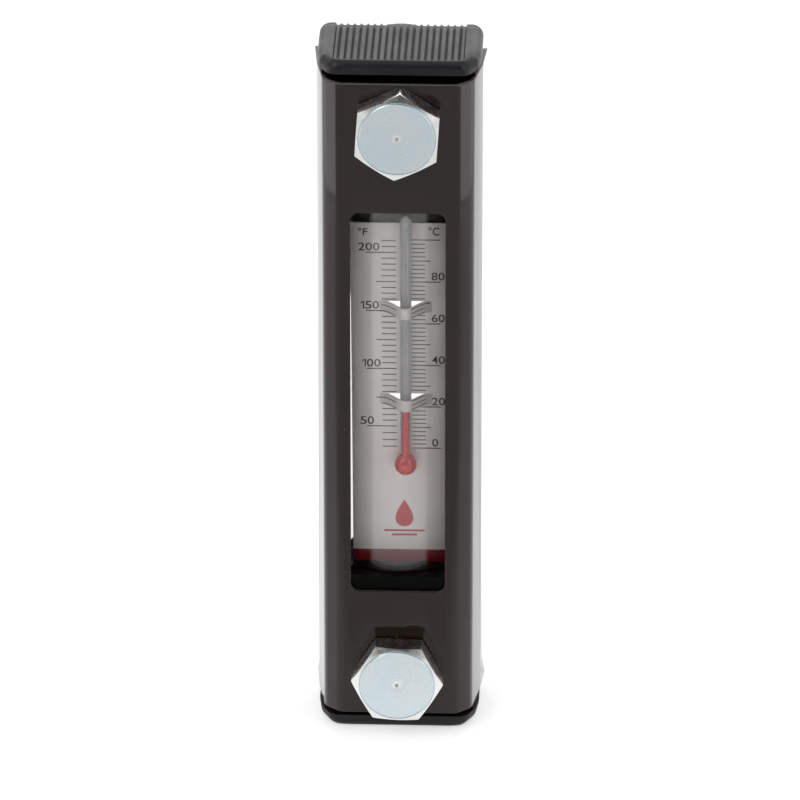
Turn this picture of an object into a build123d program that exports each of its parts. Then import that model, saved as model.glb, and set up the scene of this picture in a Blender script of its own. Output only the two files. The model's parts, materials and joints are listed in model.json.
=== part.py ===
from build123d import *
import math
import os

os.makedirs("parts", exist_ok=True)

# Tank level gauge with a thermometer, held by two hollow bolts.
# Millimetres, +Z up, the gauge looks towards -Y and the tank is on its +Y side.
# The origin is midway between the two bolts, on the tank side of the rear seal rings.

# ---- bolts and nuts -------------------------------------------------------
stud_spacing = 127.0        # distance between the two bolt axes
stud_dia = 10.0             # M10 shank
stud_out = 17.2             # stud end beyond the seal ring
stud_cone = 2.5             # length of the coned tip
stud_tip_dia = 6.6
stud_root_dia = 8.2         # inside the nut the stud is drawn at the root of its thread
stud_root_past = 0.2        # and just past the nut
oil_bore_dia = 4.6          # oil passage up the middle of the bolt
cross_bore_dia = 3.6
head_flats = 17.0
head_height = 5.8           # whole head, with its washer face
washer_face = 0.5
washer_face_dia = 16.2
head_chamfer = 0.9
head_face_dia = 16.2
head_dimple_dia = 1.1
upper_head_turn = 26.3      # how far each head happens to be turned, degrees
lower_head_turn = 58.1
nut_flats = 17.0
nut_height = 9.0
nut_flange_dia = 21.3
nut_flange_rim = 1.2
nut_flange_rise = 2.7
nut_chamfer = 0.8
nut_face_dia = 15.6
nut_recess_dia = 12.4
nut_recess_depth = 0.6
upper_nut_turn = 3.0
lower_nut_turn = 13.0

# ---- seals ----------------------------------------------------------------
seal_thick = 1.5            # rear seal ring
seal_dia = 20.0
front_ring_dia = 14.0       # ring round the shank behind the sheet
front_ring_thick = 1.9
tube_ring_width = 1.6       # ring round the plug inside the tube
tube_ring_thick = 1.0

# ---- folded channel -------------------------------------------------------
sheet = 1.0
channel_past = 9.7          # channel end beyond the bolt axis
channel_depth = 20.0
flat_width = 24.8
bevel_width = 31.4
bevel_depth = 2.8
wall_bend_width = 34.6      # width at the soft bend along each side wall
wall_bend_depth = 12.0
rear_width = 34.9
fold_radius = 1.6
flare = 0.6                 # how far each rear corner spreads
flare_length = 4.0
window_reach = 19.5         # window end to the bolt axis
window_width = 20.2
window_corner = 1.8

# ---- end caps -------------------------------------------------------------
boss_dia = 26.2
boss_height = 2.2
cap_overhang = 2.1          # cap stands past the channel's rear edge
cap_set_back = 1.5          # end plate's front face behind the channel's face
end_gap = 1.25              # channel end to end plate
end_plate = 3.15
end_plate_width = 34.2
end_front_width = 28.6
end_bend_depth = 8.5
end_shoulder_width = 33.2
end_shoulder_depth = 4.2
end_side_radius = 2.5       # end face to the sides
end_front_radius = 0.7      # end face to the front face
end_corner_front = 3.0
rib_count = 19
rib_zone = 26.4
groove_width = 0.56
groove_depth = 0.45
block_front_width = 23.0    # block that fills the channel end
block_shoulder_width = 28.4
block_shoulder_depth = 2.3
block_width = 30.2
block_bend_depth = 10.0
neck_inset = 1.2            # neck between the block and the end plate
neck_inside = 0.6           # neck starts this far inside the channel
block_reach = 10.7          # from the bolt axis towards the tube
lower_cradle_reach = 22.45
upper_cradle_reach = 19.9
crown_radius = 34.0         # bulge of the block over the tube
crown_rise = 1.9
chamber_dia = 14.0          # oil space round the shank
chamber_length = 12.5
chamber_set_back = 4.2
passage_dia = 5.2
passage_behind = 3.05       # passage axis behind the tube's axis
plug_reach = 14.3
tongue_reach = 27.0         # thin tongue behind the scale plate
tongue_thick = 1.2
tongue_width = 19.0
slot_floor_reach = 19.5     # where the scale plate's end stands
slot_slack = 0.1
ring_groove_back = 11.6     # ring groove from the bolt axis

# ---- sight tube -----------------------------------------------------------
tube_width = 24.4
tube_depth = 18.5
tube_wall = 1.5
tube_sunk = 1.0             # rear crown below the cap's rear face
tube_socket_reach = 8.7     # tube end from the bolt axis

# ---- scale plate and thermometer -----------------------------------------
plate_thick = 0.5
plate_top_reach = 25.44     # plate's top to the upper bolt axis
red_band_height = 5.4       # part of it stands hidden in the slot
clips_above_bulb = (36.45, 14.95)
clip_height = 2.5
clip_span = 10.8
glass_offset = 1.4          # thermometer axis to the right of the middle
glass_stand = 2.4           # thermometer axis in front of the plate
glass_dia = 2.4
glass_top_reach = 22.9      # thermometer's top to the upper bolt axis
bulb_dia = 4.4
bulb_above_foot = 26.3      # bulb centre above the plate's lower end
glass_bore_dia = 1.7
column_dia = 1.1
column_height = 13.4        # liquid above the bulb centre
bulb_cavity_dia = 3.6

# ---- clearances -----------------------------------------------------------
shank_gap = 0.3             # round every shank
tube_gap = 0.3              # round the tube, inside and out
liquid_gap = 0.3            # liquid to glass
plate_gap = 0.4             # plate's long edges to the tube
bulb_gap = 0.4              # bulb to the tube
clip_gap = 0.1              # clips to the thermometer
ring_gap = 0.3              # rubber rings to the round walls beside them

# ---- levels along Y and Z -------------------------------------------------
half_spacing = stud_spacing / 2
boss_face = -seal_thick
cap_rear = boss_face - boss_height
channel_rear = cap_rear - cap_overhang
channel_front = channel_rear - channel_depth
channel_inner = channel_front + sheet
head_front = channel_front - head_height
cap_front = channel_front + cap_set_back
half_channel = half_spacing + channel_past
window_length = 2 * (half_spacing - window_reach)
end_inner = half_channel + end_gap
end_outer = end_inner + end_plate
tube_centre = cap_rear - tube_sunk - tube_depth / 2
tube_end = half_spacing - tube_socket_reach
tube_front = tube_centre - tube_depth / 2 + tube_wall
plate_front = tube_front + bulb_gap + bulb_dia / 2 + glass_stand
plate_rear = plate_front + plate_thick
plate_bottom = -(half_spacing - slot_floor_reach)
plate_share = (tube_centre - plate_front) / (tube_depth / 2 - tube_wall)
plate_width = (tube_width - 2 * tube_wall) * math.sqrt(1 - plate_share ** 2) - 2 * plate_gap
clip_rise = glass_stand + glass_dia / 2 + clip_gap + plate_thick
glass_axis = plate_front - glass_stand
plate_top = half_spacing - plate_top_reach
bulb_level = plate_bottom + bulb_above_foot
glass_top = half_spacing - glass_top_reach
column_top = bulb_level + column_height
passage_level = tube_centre + passage_behind
shank_hole = stud_dia + 2 * shank_gap


def mirrored(points):
    """Close a run of points on the right with its mirror image on the left."""
    return points + [(-x, y) for x, y in reversed(points)]


def inner_run(points, distance):
    """Move a run of points, rear to front, inwards by a distance."""
    run = points + [(0.0, points[-1][1])]
    moved = []
    for index in range(len(points)):
        before = run[max(index - 1, 0)]
        here = run[index]
        after = run[index + 1]
        if index == 0:
            before = (2 * here[0] - after[0], 2 * here[1] - after[1])
        first = (here[0] - before[0], here[1] - before[1])
        second = (after[0] - here[0], after[1] - here[1])
        n1 = (first[1] / math.hypot(*first), -first[0] / math.hypot(*first))
        n2 = (second[1] / math.hypot(*second), -second[0] / math.hypot(*second))
        share = distance / (1 + n1[0] * n2[0] + n1[1] * n2[1])
        moved.append((here[0] + (n1[0] + n2[0]) * share, here[1] + (n1[1] + n2[1]) * share))
    return moved


def along_y(shape, start):
    """Turn a shape built up +Z so that it runs along +Y from a start level."""
    return Pos(0, start, 0) * Rot(-90, 0, 0) * shape


def cylinder_y(dia, start, end):
    """A round bar along Y between two levels."""
    return along_y(extrude(Circle(dia / 2), end - start), start)


def oval(grow, low, high):
    """The tube's outer oval, grown by a distance, between two heights."""
    face = Ellipse(tube_width / 2 + grow, tube_depth / 2 + grow)
    return Pos(0, tube_centre, low) * extrude(face, high - low)


def slab(half_width, rear, front, low, high):
    """A block between two Y levels and two heights, centred across."""
    block = Box(2 * half_width, rear - front, high - low, align=(Align.CENTER, Align.MIN, Align.MIN))
    return Pos(0, front, low) * block


def channel_run(spread):
    """Outside of the folded sheet on the right, from behind its rear edge to its face."""
    beyond = 2 * fold_radius + 2
    slope = (rear_width - wall_bend_width + 2 * spread) / 2 / (channel_depth - wall_bend_depth)
    return [
        (rear_width / 2 + spread + slope * beyond, channel_rear + beyond),
        (wall_bend_width / 2, channel_front + wall_bend_depth),
        (bevel_width / 2, channel_front + bevel_depth),
        (flat_width / 2, channel_front),
    ]


def channel_form(inset, radius):
    """Solid form of the channel, with its rear corners spread at both ends."""
    straight = mirrored(inner_run(channel_run(0), inset) if inset else channel_run(0))
    spread = mirrored(inner_run(channel_run(flare), inset) if inset else channel_run(flare))
    middle = half_channel - flare_length
    section = make_face(FilletPolyline(*straight, radius=radius, close=True))
    opened = make_face(FilletPolyline(*spread, radius=radius, close=True))
    form = Pos(0, 0, -middle) * extrude(section, 2 * middle)
    for side in (1, -1):
        ends = [Pos(0, 0, side * middle) * section, Pos(0, 0, side * half_channel) * opened]
        form += loft(ends, ruled=True)
    return form


def housing_channel():
    """Folded sheet channel with a window and two bolt holes in its face."""
    shell = channel_form(0, fold_radius) - channel_form(sheet, fold_radius - sheet)
    shell &= slab(rear_width, channel_rear, channel_front - 1, -half_channel, half_channel)
    opening = RectangleRounded(window_width, window_length, window_corner)
    shell -= along_y(extrude(opening, 3 * sheet), channel_front - sheet)
    for side in (1, -1):
        shell -= Pos(0, 0, side * half_spacing) * cylinder_y(shank_hole, channel_front - 1, channel_inner + 1)
    return shell


def end_plate_form():
    """End plate: its plan, cut by a rounded side view and a rounded end view."""
    right = [
        (end_plate_width / 2, cap_rear),
        (end_plate_width / 2, cap_front + end_bend_depth),
        (end_shoulder_width / 2, cap_front + end_shoulder_depth),
        (end_front_width / 2, cap_front),
    ]
    plan = make_face(Polyline(*mirrored(right), close=True))
    plan = fillet(plan.vertices().group_by(Axis.Y)[0], end_corner_front)
    depth = cap_rear - cap_front
    across = Rectangle(end_plate_width, 2 * end_plate)
    across = fillet(across.vertices().group_by(Axis.Y)[0], end_side_radius)
    along = Rectangle(2 * depth, 2 * end_plate)
    along = fillet(along.vertices(), end_front_radius)
    plate = extrude(plan, end_plate)
    plate &= along_y(extrude(across, depth), cap_front)
    plate &= Pos(0, cap_rear, 0) * extrude(Plane.YZ * along, end_plate_width, both=True)
    return Pos(0, 0, end_inner) * plate


def ribbed_plate():
    """End plate with ribs across its end face, open at the rear edge."""
    pitch = rib_zone / rib_count
    grooves = Sketch()
    for index in range(rib_count + 1):
        place = (index - rib_count / 2) * pitch
        grooves += Pos(place, 0) * Rectangle(groove_width, 4 * channel_depth)
    return end_plate_form() - Pos(0, 0, end_outer - groove_depth) * extrude(grooves, end_plate)


def block_form(low, high, inset=0):
    """Block of a cap that fills the channel's end, or its neck at an inset."""
    front = channel_inner + inset
    right = [
        (block_width / 2 - inset, cap_rear),
        (block_width / 2 - inset, front + block_bend_depth),
        (block_shoulder_width / 2 - inset, front + block_shoulder_depth),
        (block_front_width / 2, front),
    ]
    face = make_face(Polyline(*mirrored(right), close=True))
    return Pos(0, 0, low) * extrude(face, high - low)


def socket_body(cradle_reach):
    """Outside of the cap's block with its front cradle and the crown over the tube."""
    mouth = half_spacing - block_reach
    neck_start = half_channel - neck_inside
    body = block_form(mouth, neck_start) + block_form(neck_start, end_inner, neck_inset)
    cradle = block_form(half_spacing - cradle_reach, mouth + 1)
    body += cradle & slab(
        block_width, plate_front, channel_inner - 1, half_spacing - cradle_reach, mouth + 1
    )
    crown_axis = cap_rear + crown_rise - crown_radius
    round_crown = Pos(0, crown_axis, mouth) * extrude(Circle(crown_radius), block_reach)
    body += round_crown & slab(block_width / 2, 0, cap_rear - 1, mouth, half_spacing)
    return body


def plug(cradle_reach):
    """Plug inside the tube's end, with the jaw and tongue that hold the scale plate."""
    whole = oval(-tube_wall - tube_gap, half_spacing - tongue_reach, tube_end + 1)
    depth = half_spacing - plug_reach
    jaw_rear = plate_front - slot_slack / 2
    jaw = slab(tube_width, jaw_rear, channel_inner, half_spacing - cradle_reach, tube_end + 1)
    tongue = slab(
        tongue_width / 2, plate_rear + slot_slack / 2 + tongue_thick, plate_rear + slot_slack / 2,
        half_spacing - tongue_reach, tube_end + 1,
    )
    floor_end = half_spacing - slot_floor_reach
    floor = slab(tongue_width / 2, plate_rear + tongue_thick, plate_front - 1, floor_end, depth + 1)
    base = slab(tube_width, 0, channel_inner, depth, tube_end + 1)
    form = whole & (jaw + tongue + floor + base)
    groove = half_spacing - ring_groove_back
    ring = oval(0, groove - tube_ring_thick / 2, groove + tube_ring_thick / 2)
    ring -= oval(-tube_wall - tube_gap - tube_ring_width, groove - tube_ring_thick, groove + tube_ring_thick)
    return form - ring


def end_cap(cradle_reach):
    """Upper end cap: ribbed end plate, block, boss, tube socket and oil ways."""
    cap = ribbed_plate() + socket_body(cradle_reach)
    cap += Pos(0, 0, half_spacing) * cylinder_y(boss_dia, cap_rear - 1, boss_face)
    cap -= oval(tube_gap, 0, tube_end)
    cap += plug(cradle_reach)
    cap -= Pos(0, 0, half_spacing) * cylinder_y(shank_hole, channel_front, 1)
    chamber_front = channel_inner + chamber_set_back
    cap -= Pos(0, 0, half_spacing) * cylinder_y(chamber_dia, chamber_front, chamber_front + chamber_length)
    ring_seat = front_ring_dia + 2 * ring_gap
    cap -= Pos(0, 0, half_spacing) * cylinder_y(ring_seat, channel_front, channel_inner + front_ring_thick)
    way = Pos(0, passage_level, 0) * extrude(Circle(passage_dia / 2), half_spacing)
    return cap - way


def lower_end_cap():
    """Lower end cap, the same moulding with a longer front cradle."""
    return mirror(end_cap(lower_cradle_reach), about=Plane.XY)


def sight_tube():
    """Clear oval tube between the two caps."""
    return oval(0, -tube_end, tube_end) - oval(-tube_wall, -tube_end - 1, tube_end + 1)


def tube_ring():
    """Upper rubber ring between the plug and the tube, resting on the groove's side."""
    outer = oval(-tube_wall - ring_gap / 3, 0, tube_ring_thick)
    inner = oval(-tube_wall - tube_gap - tube_ring_width + ring_gap, -1, tube_ring_thick + 1)
    return Pos(0, 0, half_spacing - ring_groove_back - tube_ring_thick / 2) * (outer - inner)


def scale_plate():
    """Printed plate with two strips pressed forward to hold the thermometer."""
    plate = slab(plate_width / 2, plate_rear, plate_front, plate_bottom + red_band_height, plate_top)
    radius = ((clip_span / 2) ** 2 + clip_rise ** 2) / (2 * clip_rise)
    for lift in clips_above_bulb:
        low = bulb_level + lift - clip_height / 2
        high = low + clip_height
        plate -= Pos(glass_offset, 0, 0) * slab(clip_span / 2, plate_rear + 1, plate_front - 1, low, high)
        hoop = extrude(Circle(radius) - Circle(radius - plate_thick), clip_height)
        hoop = Pos(0, plate_front - clip_rise + radius, low) * hoop
        hoop &= slab(clip_span / 2 + 1, plate_rear, plate_front - 2 * radius, low - 1, high + 1)
        plate += Pos(glass_offset, 0, 0) * hoop
    return plate


def red_band():
    """Red bottom band of the plate, standing in the lower cap's slot."""
    return slab(plate_width / 2, plate_rear, plate_front, plate_bottom, plate_bottom + red_band_height)


def glass_form(stem_dia, ball_dia, top, floor_cut):
    """A stem with a ball at its lower end, its foot cut flat."""
    ball = Pos(0, 0, bulb_level) * Sphere(ball_dia / 2)
    stem = Pos(0, 0, bulb_level) * extrude(Circle(stem_dia / 2), top - bulb_level)
    form = ball + stem
    if floor_cut:
        below = Box(2 * ball_dia, 2 * ball_dia, ball_dia, align=(Align.CENTER, Align.CENTER, Align.MAX))
        form -= Pos(0, 0, bulb_level - floor_cut) * below
    return form


def thermometer_glass():
    """Thermometer tube with a domed top, a bulb and a hollow bore."""
    outer = glass_form(glass_dia, bulb_dia, glass_top - glass_dia / 2, 0)
    outer += Pos(0, 0, glass_top - glass_dia / 2) * Sphere(glass_dia / 2)
    outer -= glass_form(glass_bore_dia, bulb_cavity_dia, glass_top - glass_dia, bulb_cavity_dia / 2 - 0.2)
    return Pos(glass_offset, glass_axis, 0) * outer


def thermometer_liquid():
    """Red liquid in the bulb and the column, standing on the bulb's floor."""
    body = glass_form(column_dia, bulb_cavity_dia - 2 * liquid_gap, column_top, 0)
    foot_height = bulb_cavity_dia / 2 - 0.2
    foot = Pos(0, 0, bulb_level - foot_height) * extrude(Circle(0.7), foot_height)
    body += foot
    return Pos(glass_offset, glass_axis, 0) * body


def chamfered_hex(flats, height, face_dia, chamfer):
    """Hexagon built up +Z with its far corners turned down to a round face."""
    corner = flats / math.sqrt(3)
    prism = extrude(RegularPolygon(corner, 6), height)
    outline = [(0, 0), (corner + 1, 0), (corner + 1, height - chamfer), (corner, height - chamfer)]
    outline += [(face_dia / 2, height), (0, height)]
    turned = make_face(Plane.XZ * Polyline(*outline, close=True))
    return prism & revolve(turned, Axis.Z)


def hollow_bolt(turn):
    """Hexagon-head bolt with an oil bore from its tip and a cross bore to it."""
    head = chamfered_hex(head_flats, head_height - washer_face, head_face_dia, head_chamfer)
    head = Pos(0, 0, washer_face) * Rot(0, 0, turn) * head
    head += extrude(Circle(washer_face_dia / 2), washer_face + 0.2)
    head -= Pos(0, 0, head_height) * Sphere(head_dimple_dia / 2)
    bolt = Pos(0, channel_front, 0) * Rot(90, 0, 0) * head
    shank = stud_out - channel_front
    tip = [(0, 0), (stud_dia / 2, 0), (stud_dia / 2, shank - stud_cone)]
    tip += [(stud_tip_dia / 2, shank), (0, shank)]
    bolt += along_y(revolve(make_face(Plane.XZ * Polyline(*tip, close=True)), Axis.Z), channel_front)
    inside_nut = nut_height + stud_root_past
    bolt -= cylinder_y(stud_dia + 1, 0, inside_nut) - cylinder_y(stud_root_dia, 0, inside_nut)
    middle = channel_inner + chamber_set_back + chamber_length / 2
    bolt -= cylinder_y(oil_bore_dia, middle - cross_bore_dia / 2, stud_out + 1)
    bolt -= Pos(0, middle, 0) * Rot(0, 90, 0) * Cylinder(cross_bore_dia / 2, stud_dia + 2)
    return bolt


def flange_nut(turn):
    """Hexagon nut with a coned flange against the seal ring."""
    nut = Rot(0, 0, turn) * chamfered_hex(nut_flats, nut_height, nut_face_dia, nut_chamfer)
    skirt = [(0, 0), (nut_flange_dia / 2, 0), (nut_flange_dia / 2, nut_flange_rim)]
    skirt += [(nut_flats / 2, nut_flange_rise), (0, nut_flange_rise)]
    nut += revolve(make_face(Plane.XZ * Polyline(*skirt, close=True)), Axis.Z)
    nut_bore = stud_root_dia + 2 * shank_gap
    nut -= Pos(0, 0, -1) * extrude(Circle(nut_bore / 2), nut_height + 2)
    sink = [(0, nut_height - nut_recess_depth), (nut_bore / 2, nut_height - nut_recess_depth)]
    sink += [(nut_recess_dia / 2, nut_height), (nut_recess_dia / 2, nut_height + 1), (0, nut_height + 1)]
    nut -= revolve(make_face(Plane.XZ * Polyline(*sink, close=True)), Axis.Z)
    return along_y(nut, 0)


def seal_ring():
    """Flat rubber ring between the cap's boss and the tank wall."""
    ring = cylinder_y(seal_dia, boss_face, 0)
    return ring - cylinder_y(shank_hole, boss_face - 1, 1)


def front_ring():
    """Rubber ring round the shank, held in the cap by the sheet."""
    ring = cylinder_y(front_ring_dia, channel_inner, channel_inner + front_ring_thick)
    return ring - cylinder_y(shank_hole, channel_inner - 1, channel_inner + front_ring_thick + 1)


def save(name, shape):
    """Write one piece to its own file."""
    export_step(shape, f"parts/{name}.step")


save("housing_channel", housing_channel())
save("upper_end_cap", end_cap(upper_cradle_reach))
save("lower_end_cap", lower_end_cap())
save("sight_tube", sight_tube())
save("upper_tube_ring", tube_ring())
save("lower_tube_ring", mirror(tube_ring(), about=Plane.XY))
save("scale_plate", scale_plate())
save("red_band", red_band())
save("thermometer_glass", thermometer_glass())
save("thermometer_liquid", thermometer_liquid())
for place, level, head_turn, nut_turn in (
    ("upper", half_spacing, upper_head_turn, upper_nut_turn),
    ("lower", -half_spacing, lower_head_turn, lower_nut_turn),
):
    save(f"{place}_hollow_bolt", Pos(0, 0, level) * hollow_bolt(head_turn))
    save(f"{place}_flange_nut", Pos(0, 0, level) * flange_nut(nut_turn))
    save(f"{place}_seal_ring", Pos(0, 0, level) * seal_ring())
    save(f"{place}_front_ring", Pos(0, 0, level) * front_ring())
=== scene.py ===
"""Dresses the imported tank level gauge: meshes, finishes, light and camera.

Sizes are in millimetres in the gauge's own frame: +Z up, the tank on the +Y side,
the origin midway between the two bolts on the tank side of the seal rings.
"""

import json
import logging
import math
from dataclasses import dataclass, field
from enum import Enum
from typing import Any, Callable, Optional, Sequence, Union

import bmesh
import bpy
from mathutils import Matrix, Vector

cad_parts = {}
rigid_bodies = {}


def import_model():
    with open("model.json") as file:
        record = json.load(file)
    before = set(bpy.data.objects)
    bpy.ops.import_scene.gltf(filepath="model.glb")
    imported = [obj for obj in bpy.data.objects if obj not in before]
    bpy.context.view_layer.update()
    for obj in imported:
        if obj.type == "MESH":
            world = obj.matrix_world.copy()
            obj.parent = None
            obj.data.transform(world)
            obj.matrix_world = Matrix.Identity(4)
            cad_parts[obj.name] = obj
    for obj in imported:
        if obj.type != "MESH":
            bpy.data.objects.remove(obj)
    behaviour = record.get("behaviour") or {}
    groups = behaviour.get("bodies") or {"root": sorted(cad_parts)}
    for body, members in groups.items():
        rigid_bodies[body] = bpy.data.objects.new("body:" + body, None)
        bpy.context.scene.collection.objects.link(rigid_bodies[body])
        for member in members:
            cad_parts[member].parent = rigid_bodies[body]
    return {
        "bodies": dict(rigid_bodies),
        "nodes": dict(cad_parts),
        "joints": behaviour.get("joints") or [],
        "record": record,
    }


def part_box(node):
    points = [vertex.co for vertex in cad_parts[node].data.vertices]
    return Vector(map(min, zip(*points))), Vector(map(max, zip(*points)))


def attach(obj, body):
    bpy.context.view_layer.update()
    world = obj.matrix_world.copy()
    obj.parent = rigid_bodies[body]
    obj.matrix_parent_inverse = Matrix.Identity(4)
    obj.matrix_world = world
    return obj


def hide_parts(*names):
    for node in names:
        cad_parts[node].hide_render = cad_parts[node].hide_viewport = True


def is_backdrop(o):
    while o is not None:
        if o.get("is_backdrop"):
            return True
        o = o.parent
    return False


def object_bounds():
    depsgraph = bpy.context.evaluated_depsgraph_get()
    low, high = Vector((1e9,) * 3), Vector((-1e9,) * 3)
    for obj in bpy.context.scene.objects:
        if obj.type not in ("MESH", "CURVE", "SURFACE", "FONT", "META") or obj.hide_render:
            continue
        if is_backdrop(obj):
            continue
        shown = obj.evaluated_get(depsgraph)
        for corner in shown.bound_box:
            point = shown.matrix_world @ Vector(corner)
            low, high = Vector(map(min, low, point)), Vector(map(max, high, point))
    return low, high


MM = 0.001
Point = tuple[float, float, float]
Flat = tuple[float, float]
Stop = tuple[float, Union[str, float]]
Step = tuple[str, dict[Any, Any]]
WAVE_REPEAT = 0.314     # the wave texture repeats every 2 pi / 20 at a scale of one
# Where a value goes into a node and where it comes out.
THROUGH = {
    "ShaderNodeMapping": ("Vector", "Vector"),
    "ShaderNodeTexNoise": ("Vector", "Fac"),
    "ShaderNodeValToRGB": ("Fac", "Color"),
    "ShaderNodeBump": ("Height", "Normal"),
}
log = logging.getLogger("level_gauge")


# ---- colour and node helpers ------------------------------------------------

def linear(code: str) -> tuple[float, float, float, float]:
    """Turn an sRGB hex colour into linear values.

    Args:
        code: Six hex digits with a leading hash.

    Returns:
        Linear red, green, blue and an alpha of one.
    """
    parts = [int(code[i:i + 2], 16) / 255 for i in (1, 3, 5)]
    low = [p / 12.92 if p <= 0.04045 else ((p + 0.055) / 1.055) ** 2.4 for p in parts]
    return (low[0], low[1], low[2], 1.0)


def grey(value: float) -> tuple[float, float, float, float]:
    """A grey of one linear value."""
    return (value, value, value, 1.0)


def fill_ramp(band: bpy.types.ColorRamp, stops: Sequence[Stop]) -> None:
    """Set a ramp's stops.

    Args:
        band: Ramp with its two first stops.
        stops: Pairs of a place from 0 to 1 and a hex colour or a linear grey.
    """
    placed = [(place, linear(shade) if isinstance(shade, str) else grey(shade)) for place, shade in stops]
    band.elements[0].position, band.elements[0].color = placed[0]
    band.elements[1].position, band.elements[1].color = placed[-1]
    for place, colour in placed[1:-1]:
        band.elements.new(place).color = colour


def per_mm(size: float) -> float:
    """Texture scale, in repeats per metre, of a pattern that repeats every size millimetres."""
    return 1 / (size * MM)


def add_node(
    tree: bpy.types.NodeTree,
    kind: str,
    settings: Optional[dict[Any, Any]] = None,
    links: Optional[dict[Any, bpy.types.NodeSocket]] = None,
) -> bpy.types.Node:
    """Add one node with its settings and its incoming links.

    Args:
        tree: Tree that gets the node.
        kind: Blender's name of the node type.
        settings: Socket names or numbers with values, the node's own properties, or a ramp's stops.
        links: Socket names or numbers with the sockets that feed them.

    Returns:
        The new node.
    """
    node = tree.nodes.new(kind)
    for key, value in (settings or {}).items():
        if key == "stops":
            fill_ramp(node.color_ramp, value)
        elif isinstance(key, int) or key in node.inputs:
            node.inputs[key].default_value = value
        else:
            setattr(node, key, value)
    for key, source in (links or {}).items():
        tree.links.new(source, node.inputs[key])
    return node


class Surface:
    """One principled material under construction."""

    def __init__(self, name: str, **sockets: Any) -> None:
        """Start a material.

        Args:
            name: Material name.
            sockets: Values of the shader's sockets, with underscores for spaces.
        """
        self.material = bpy.data.materials.new(name)
        self.material.use_nodes = True
        self.tree = self.material.node_tree
        self.shader = self.tree.nodes["Principled BSDF"]
        for key, value in sockets.items():
            self.shader.inputs[key.replace("_", " ")].default_value = value
        self.where = add_node(self.tree, "ShaderNodeTexCoord").outputs["Object"]

    def run(self, *steps: Step, source: Optional[bpy.types.NodeSocket] = None) -> bpy.types.NodeSocket:
        """Pass a value through nodes in turn.

        Args:
            steps: Kinds from THROUGH, each with the node's settings.
            source: Value that goes in, or None for the place on the object.

        Returns:
            What the last node gives.
        """
        value = self.where if source is None else source
        for kind, settings in steps:
            inlet, outlet = THROUGH[kind]
            value = add_node(self.tree, kind, settings, {inlet: value}).outputs[outlet]
        return value

    def feed(self, socket: str, source: bpy.types.NodeSocket) -> None:
        """Link a source to one of the shader's sockets."""
        self.tree.links.new(source, self.shader.inputs[socket])


# ---- finishes ---------------------------------------------------------------
# Every cloud, grain, peel, draw, feed and dust size is in millimetres.

@dataclass(frozen=True)
class PaintedSheet:
    """Steel sheet, folded and coated in gloss black: it mirrors dimly, with a slight orange peel."""

    colour: str = "#1a0f0b"
    worn: str = "#22150f"
    cloud: float = 14.0         # patches where the coat is a little thinner
    roughness: float = 0.3
    dulling: float = 0.07       # how much rougher those patches are
    gloss: float = 0.055
    peel: float = 1.6           # lumps of the sprayed coat
    peel_depth: float = 0.0007
    dust: float = 2.2           # at most one speck of dust in a cell of this size
    speck: float = 0.035        # radius of a speck, as a share of its cell
    empty_cells: float = 0.82   # share of the cells that stay clean
    dust_colour: str = "#8d8580"

    def material(self) -> bpy.types.Material:
        """Black gloss coat with faint lumps and a few dust specks."""
        coat = Surface(
            "steel_black_gloss_coat", Roughness=self.roughness, IOR=1.5, Specular_IOR_Level=0.05,
            Coat_Weight=1.0, Coat_Roughness=self.gloss, Coat_IOR=1.43,
        )
        cloud = coat.run(("ShaderNodeTexNoise", {"Scale": per_mm(self.cloud), "Detail": 3.0}))
        base = coat.run(
            ("ShaderNodeValToRGB", {"stops": [(0.35, self.colour), (0.7, self.worn)]}), source=cloud
        )
        cells = add_node(
            coat.tree, "ShaderNodeTexVoronoi", {"Scale": per_mm(self.dust), "Randomness": 1.0},
            {"Vector": coat.where},
        )
        near = add_node(
            coat.tree, "ShaderNodeMath", {"operation": "LESS_THAN", 1: self.speck},
            {0: cells.outputs["Distance"]},
        )
        rare = add_node(coat.tree, "ShaderNodeSeparateColor", links={"Color": cells.outputs["Color"]})
        few = add_node(
            coat.tree, "ShaderNodeMath", {"operation": "GREATER_THAN", 1: self.empty_cells},
            {0: rare.outputs[0]},
        )
        speck = add_node(
            coat.tree, "ShaderNodeMath", {"operation": "MULTIPLY"}, {0: near.outputs[0], 1: few.outputs[0]}
        )
        dusty = add_node(
            coat.tree, "ShaderNodeMix", {"data_type": "RGBA", 7: linear(self.dust_colour)},
            {"Factor": speck.outputs[0], 6: base},
        )
        coat.feed("Base Color", dusty.outputs[2])
        coat.feed("Roughness", coat.run(
            ("ShaderNodeValToRGB", {"stops": [(0.2, self.roughness), (0.8, self.roughness + self.dulling)]}),
            source=cloud,
        ))
        coat.feed("Normal", coat.run(
            ("ShaderNodeTexNoise", {"Scale": per_mm(self.peel), "Detail": 1.0}),
            ("ShaderNodeBump", {"Strength": 1.0, "Distance": self.peel_depth * MM}),
        ))
        return coat.material


@dataclass(frozen=True)
class Mottled:
    """A surface whose colour drifts between two shades in soft clouds, with a fine grain."""

    name: str
    colour: str
    other: str
    cloud: float
    drift: Flat                 # stretch of the cloud's values over which the shade changes
    roughness: float
    grain: float
    grain_depth: float
    shine: float = 0.5

    def surface(self) -> Surface:
        """Put the clouds and the grain on a new material.

        Returns:
            The surface, for what a finish adds to it.
        """
        skin = Surface(self.name, Roughness=self.roughness, IOR=1.5, Specular_IOR_Level=self.shine)
        low, high = self.drift
        skin.feed("Base Color", skin.run(
            ("ShaderNodeTexNoise", {"Scale": per_mm(self.cloud), "Detail": 3.0}),
            ("ShaderNodeValToRGB", {"stops": [(low, self.colour), (high, self.other)]}),
        ))
        skin.feed("Normal", skin.run(
            ("ShaderNodeTexNoise", {"Scale": per_mm(self.grain), "Detail": 2.0}),
            ("ShaderNodeBump", {"Strength": 1.0, "Distance": self.grain_depth * MM}),
        ))
        return skin


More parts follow.
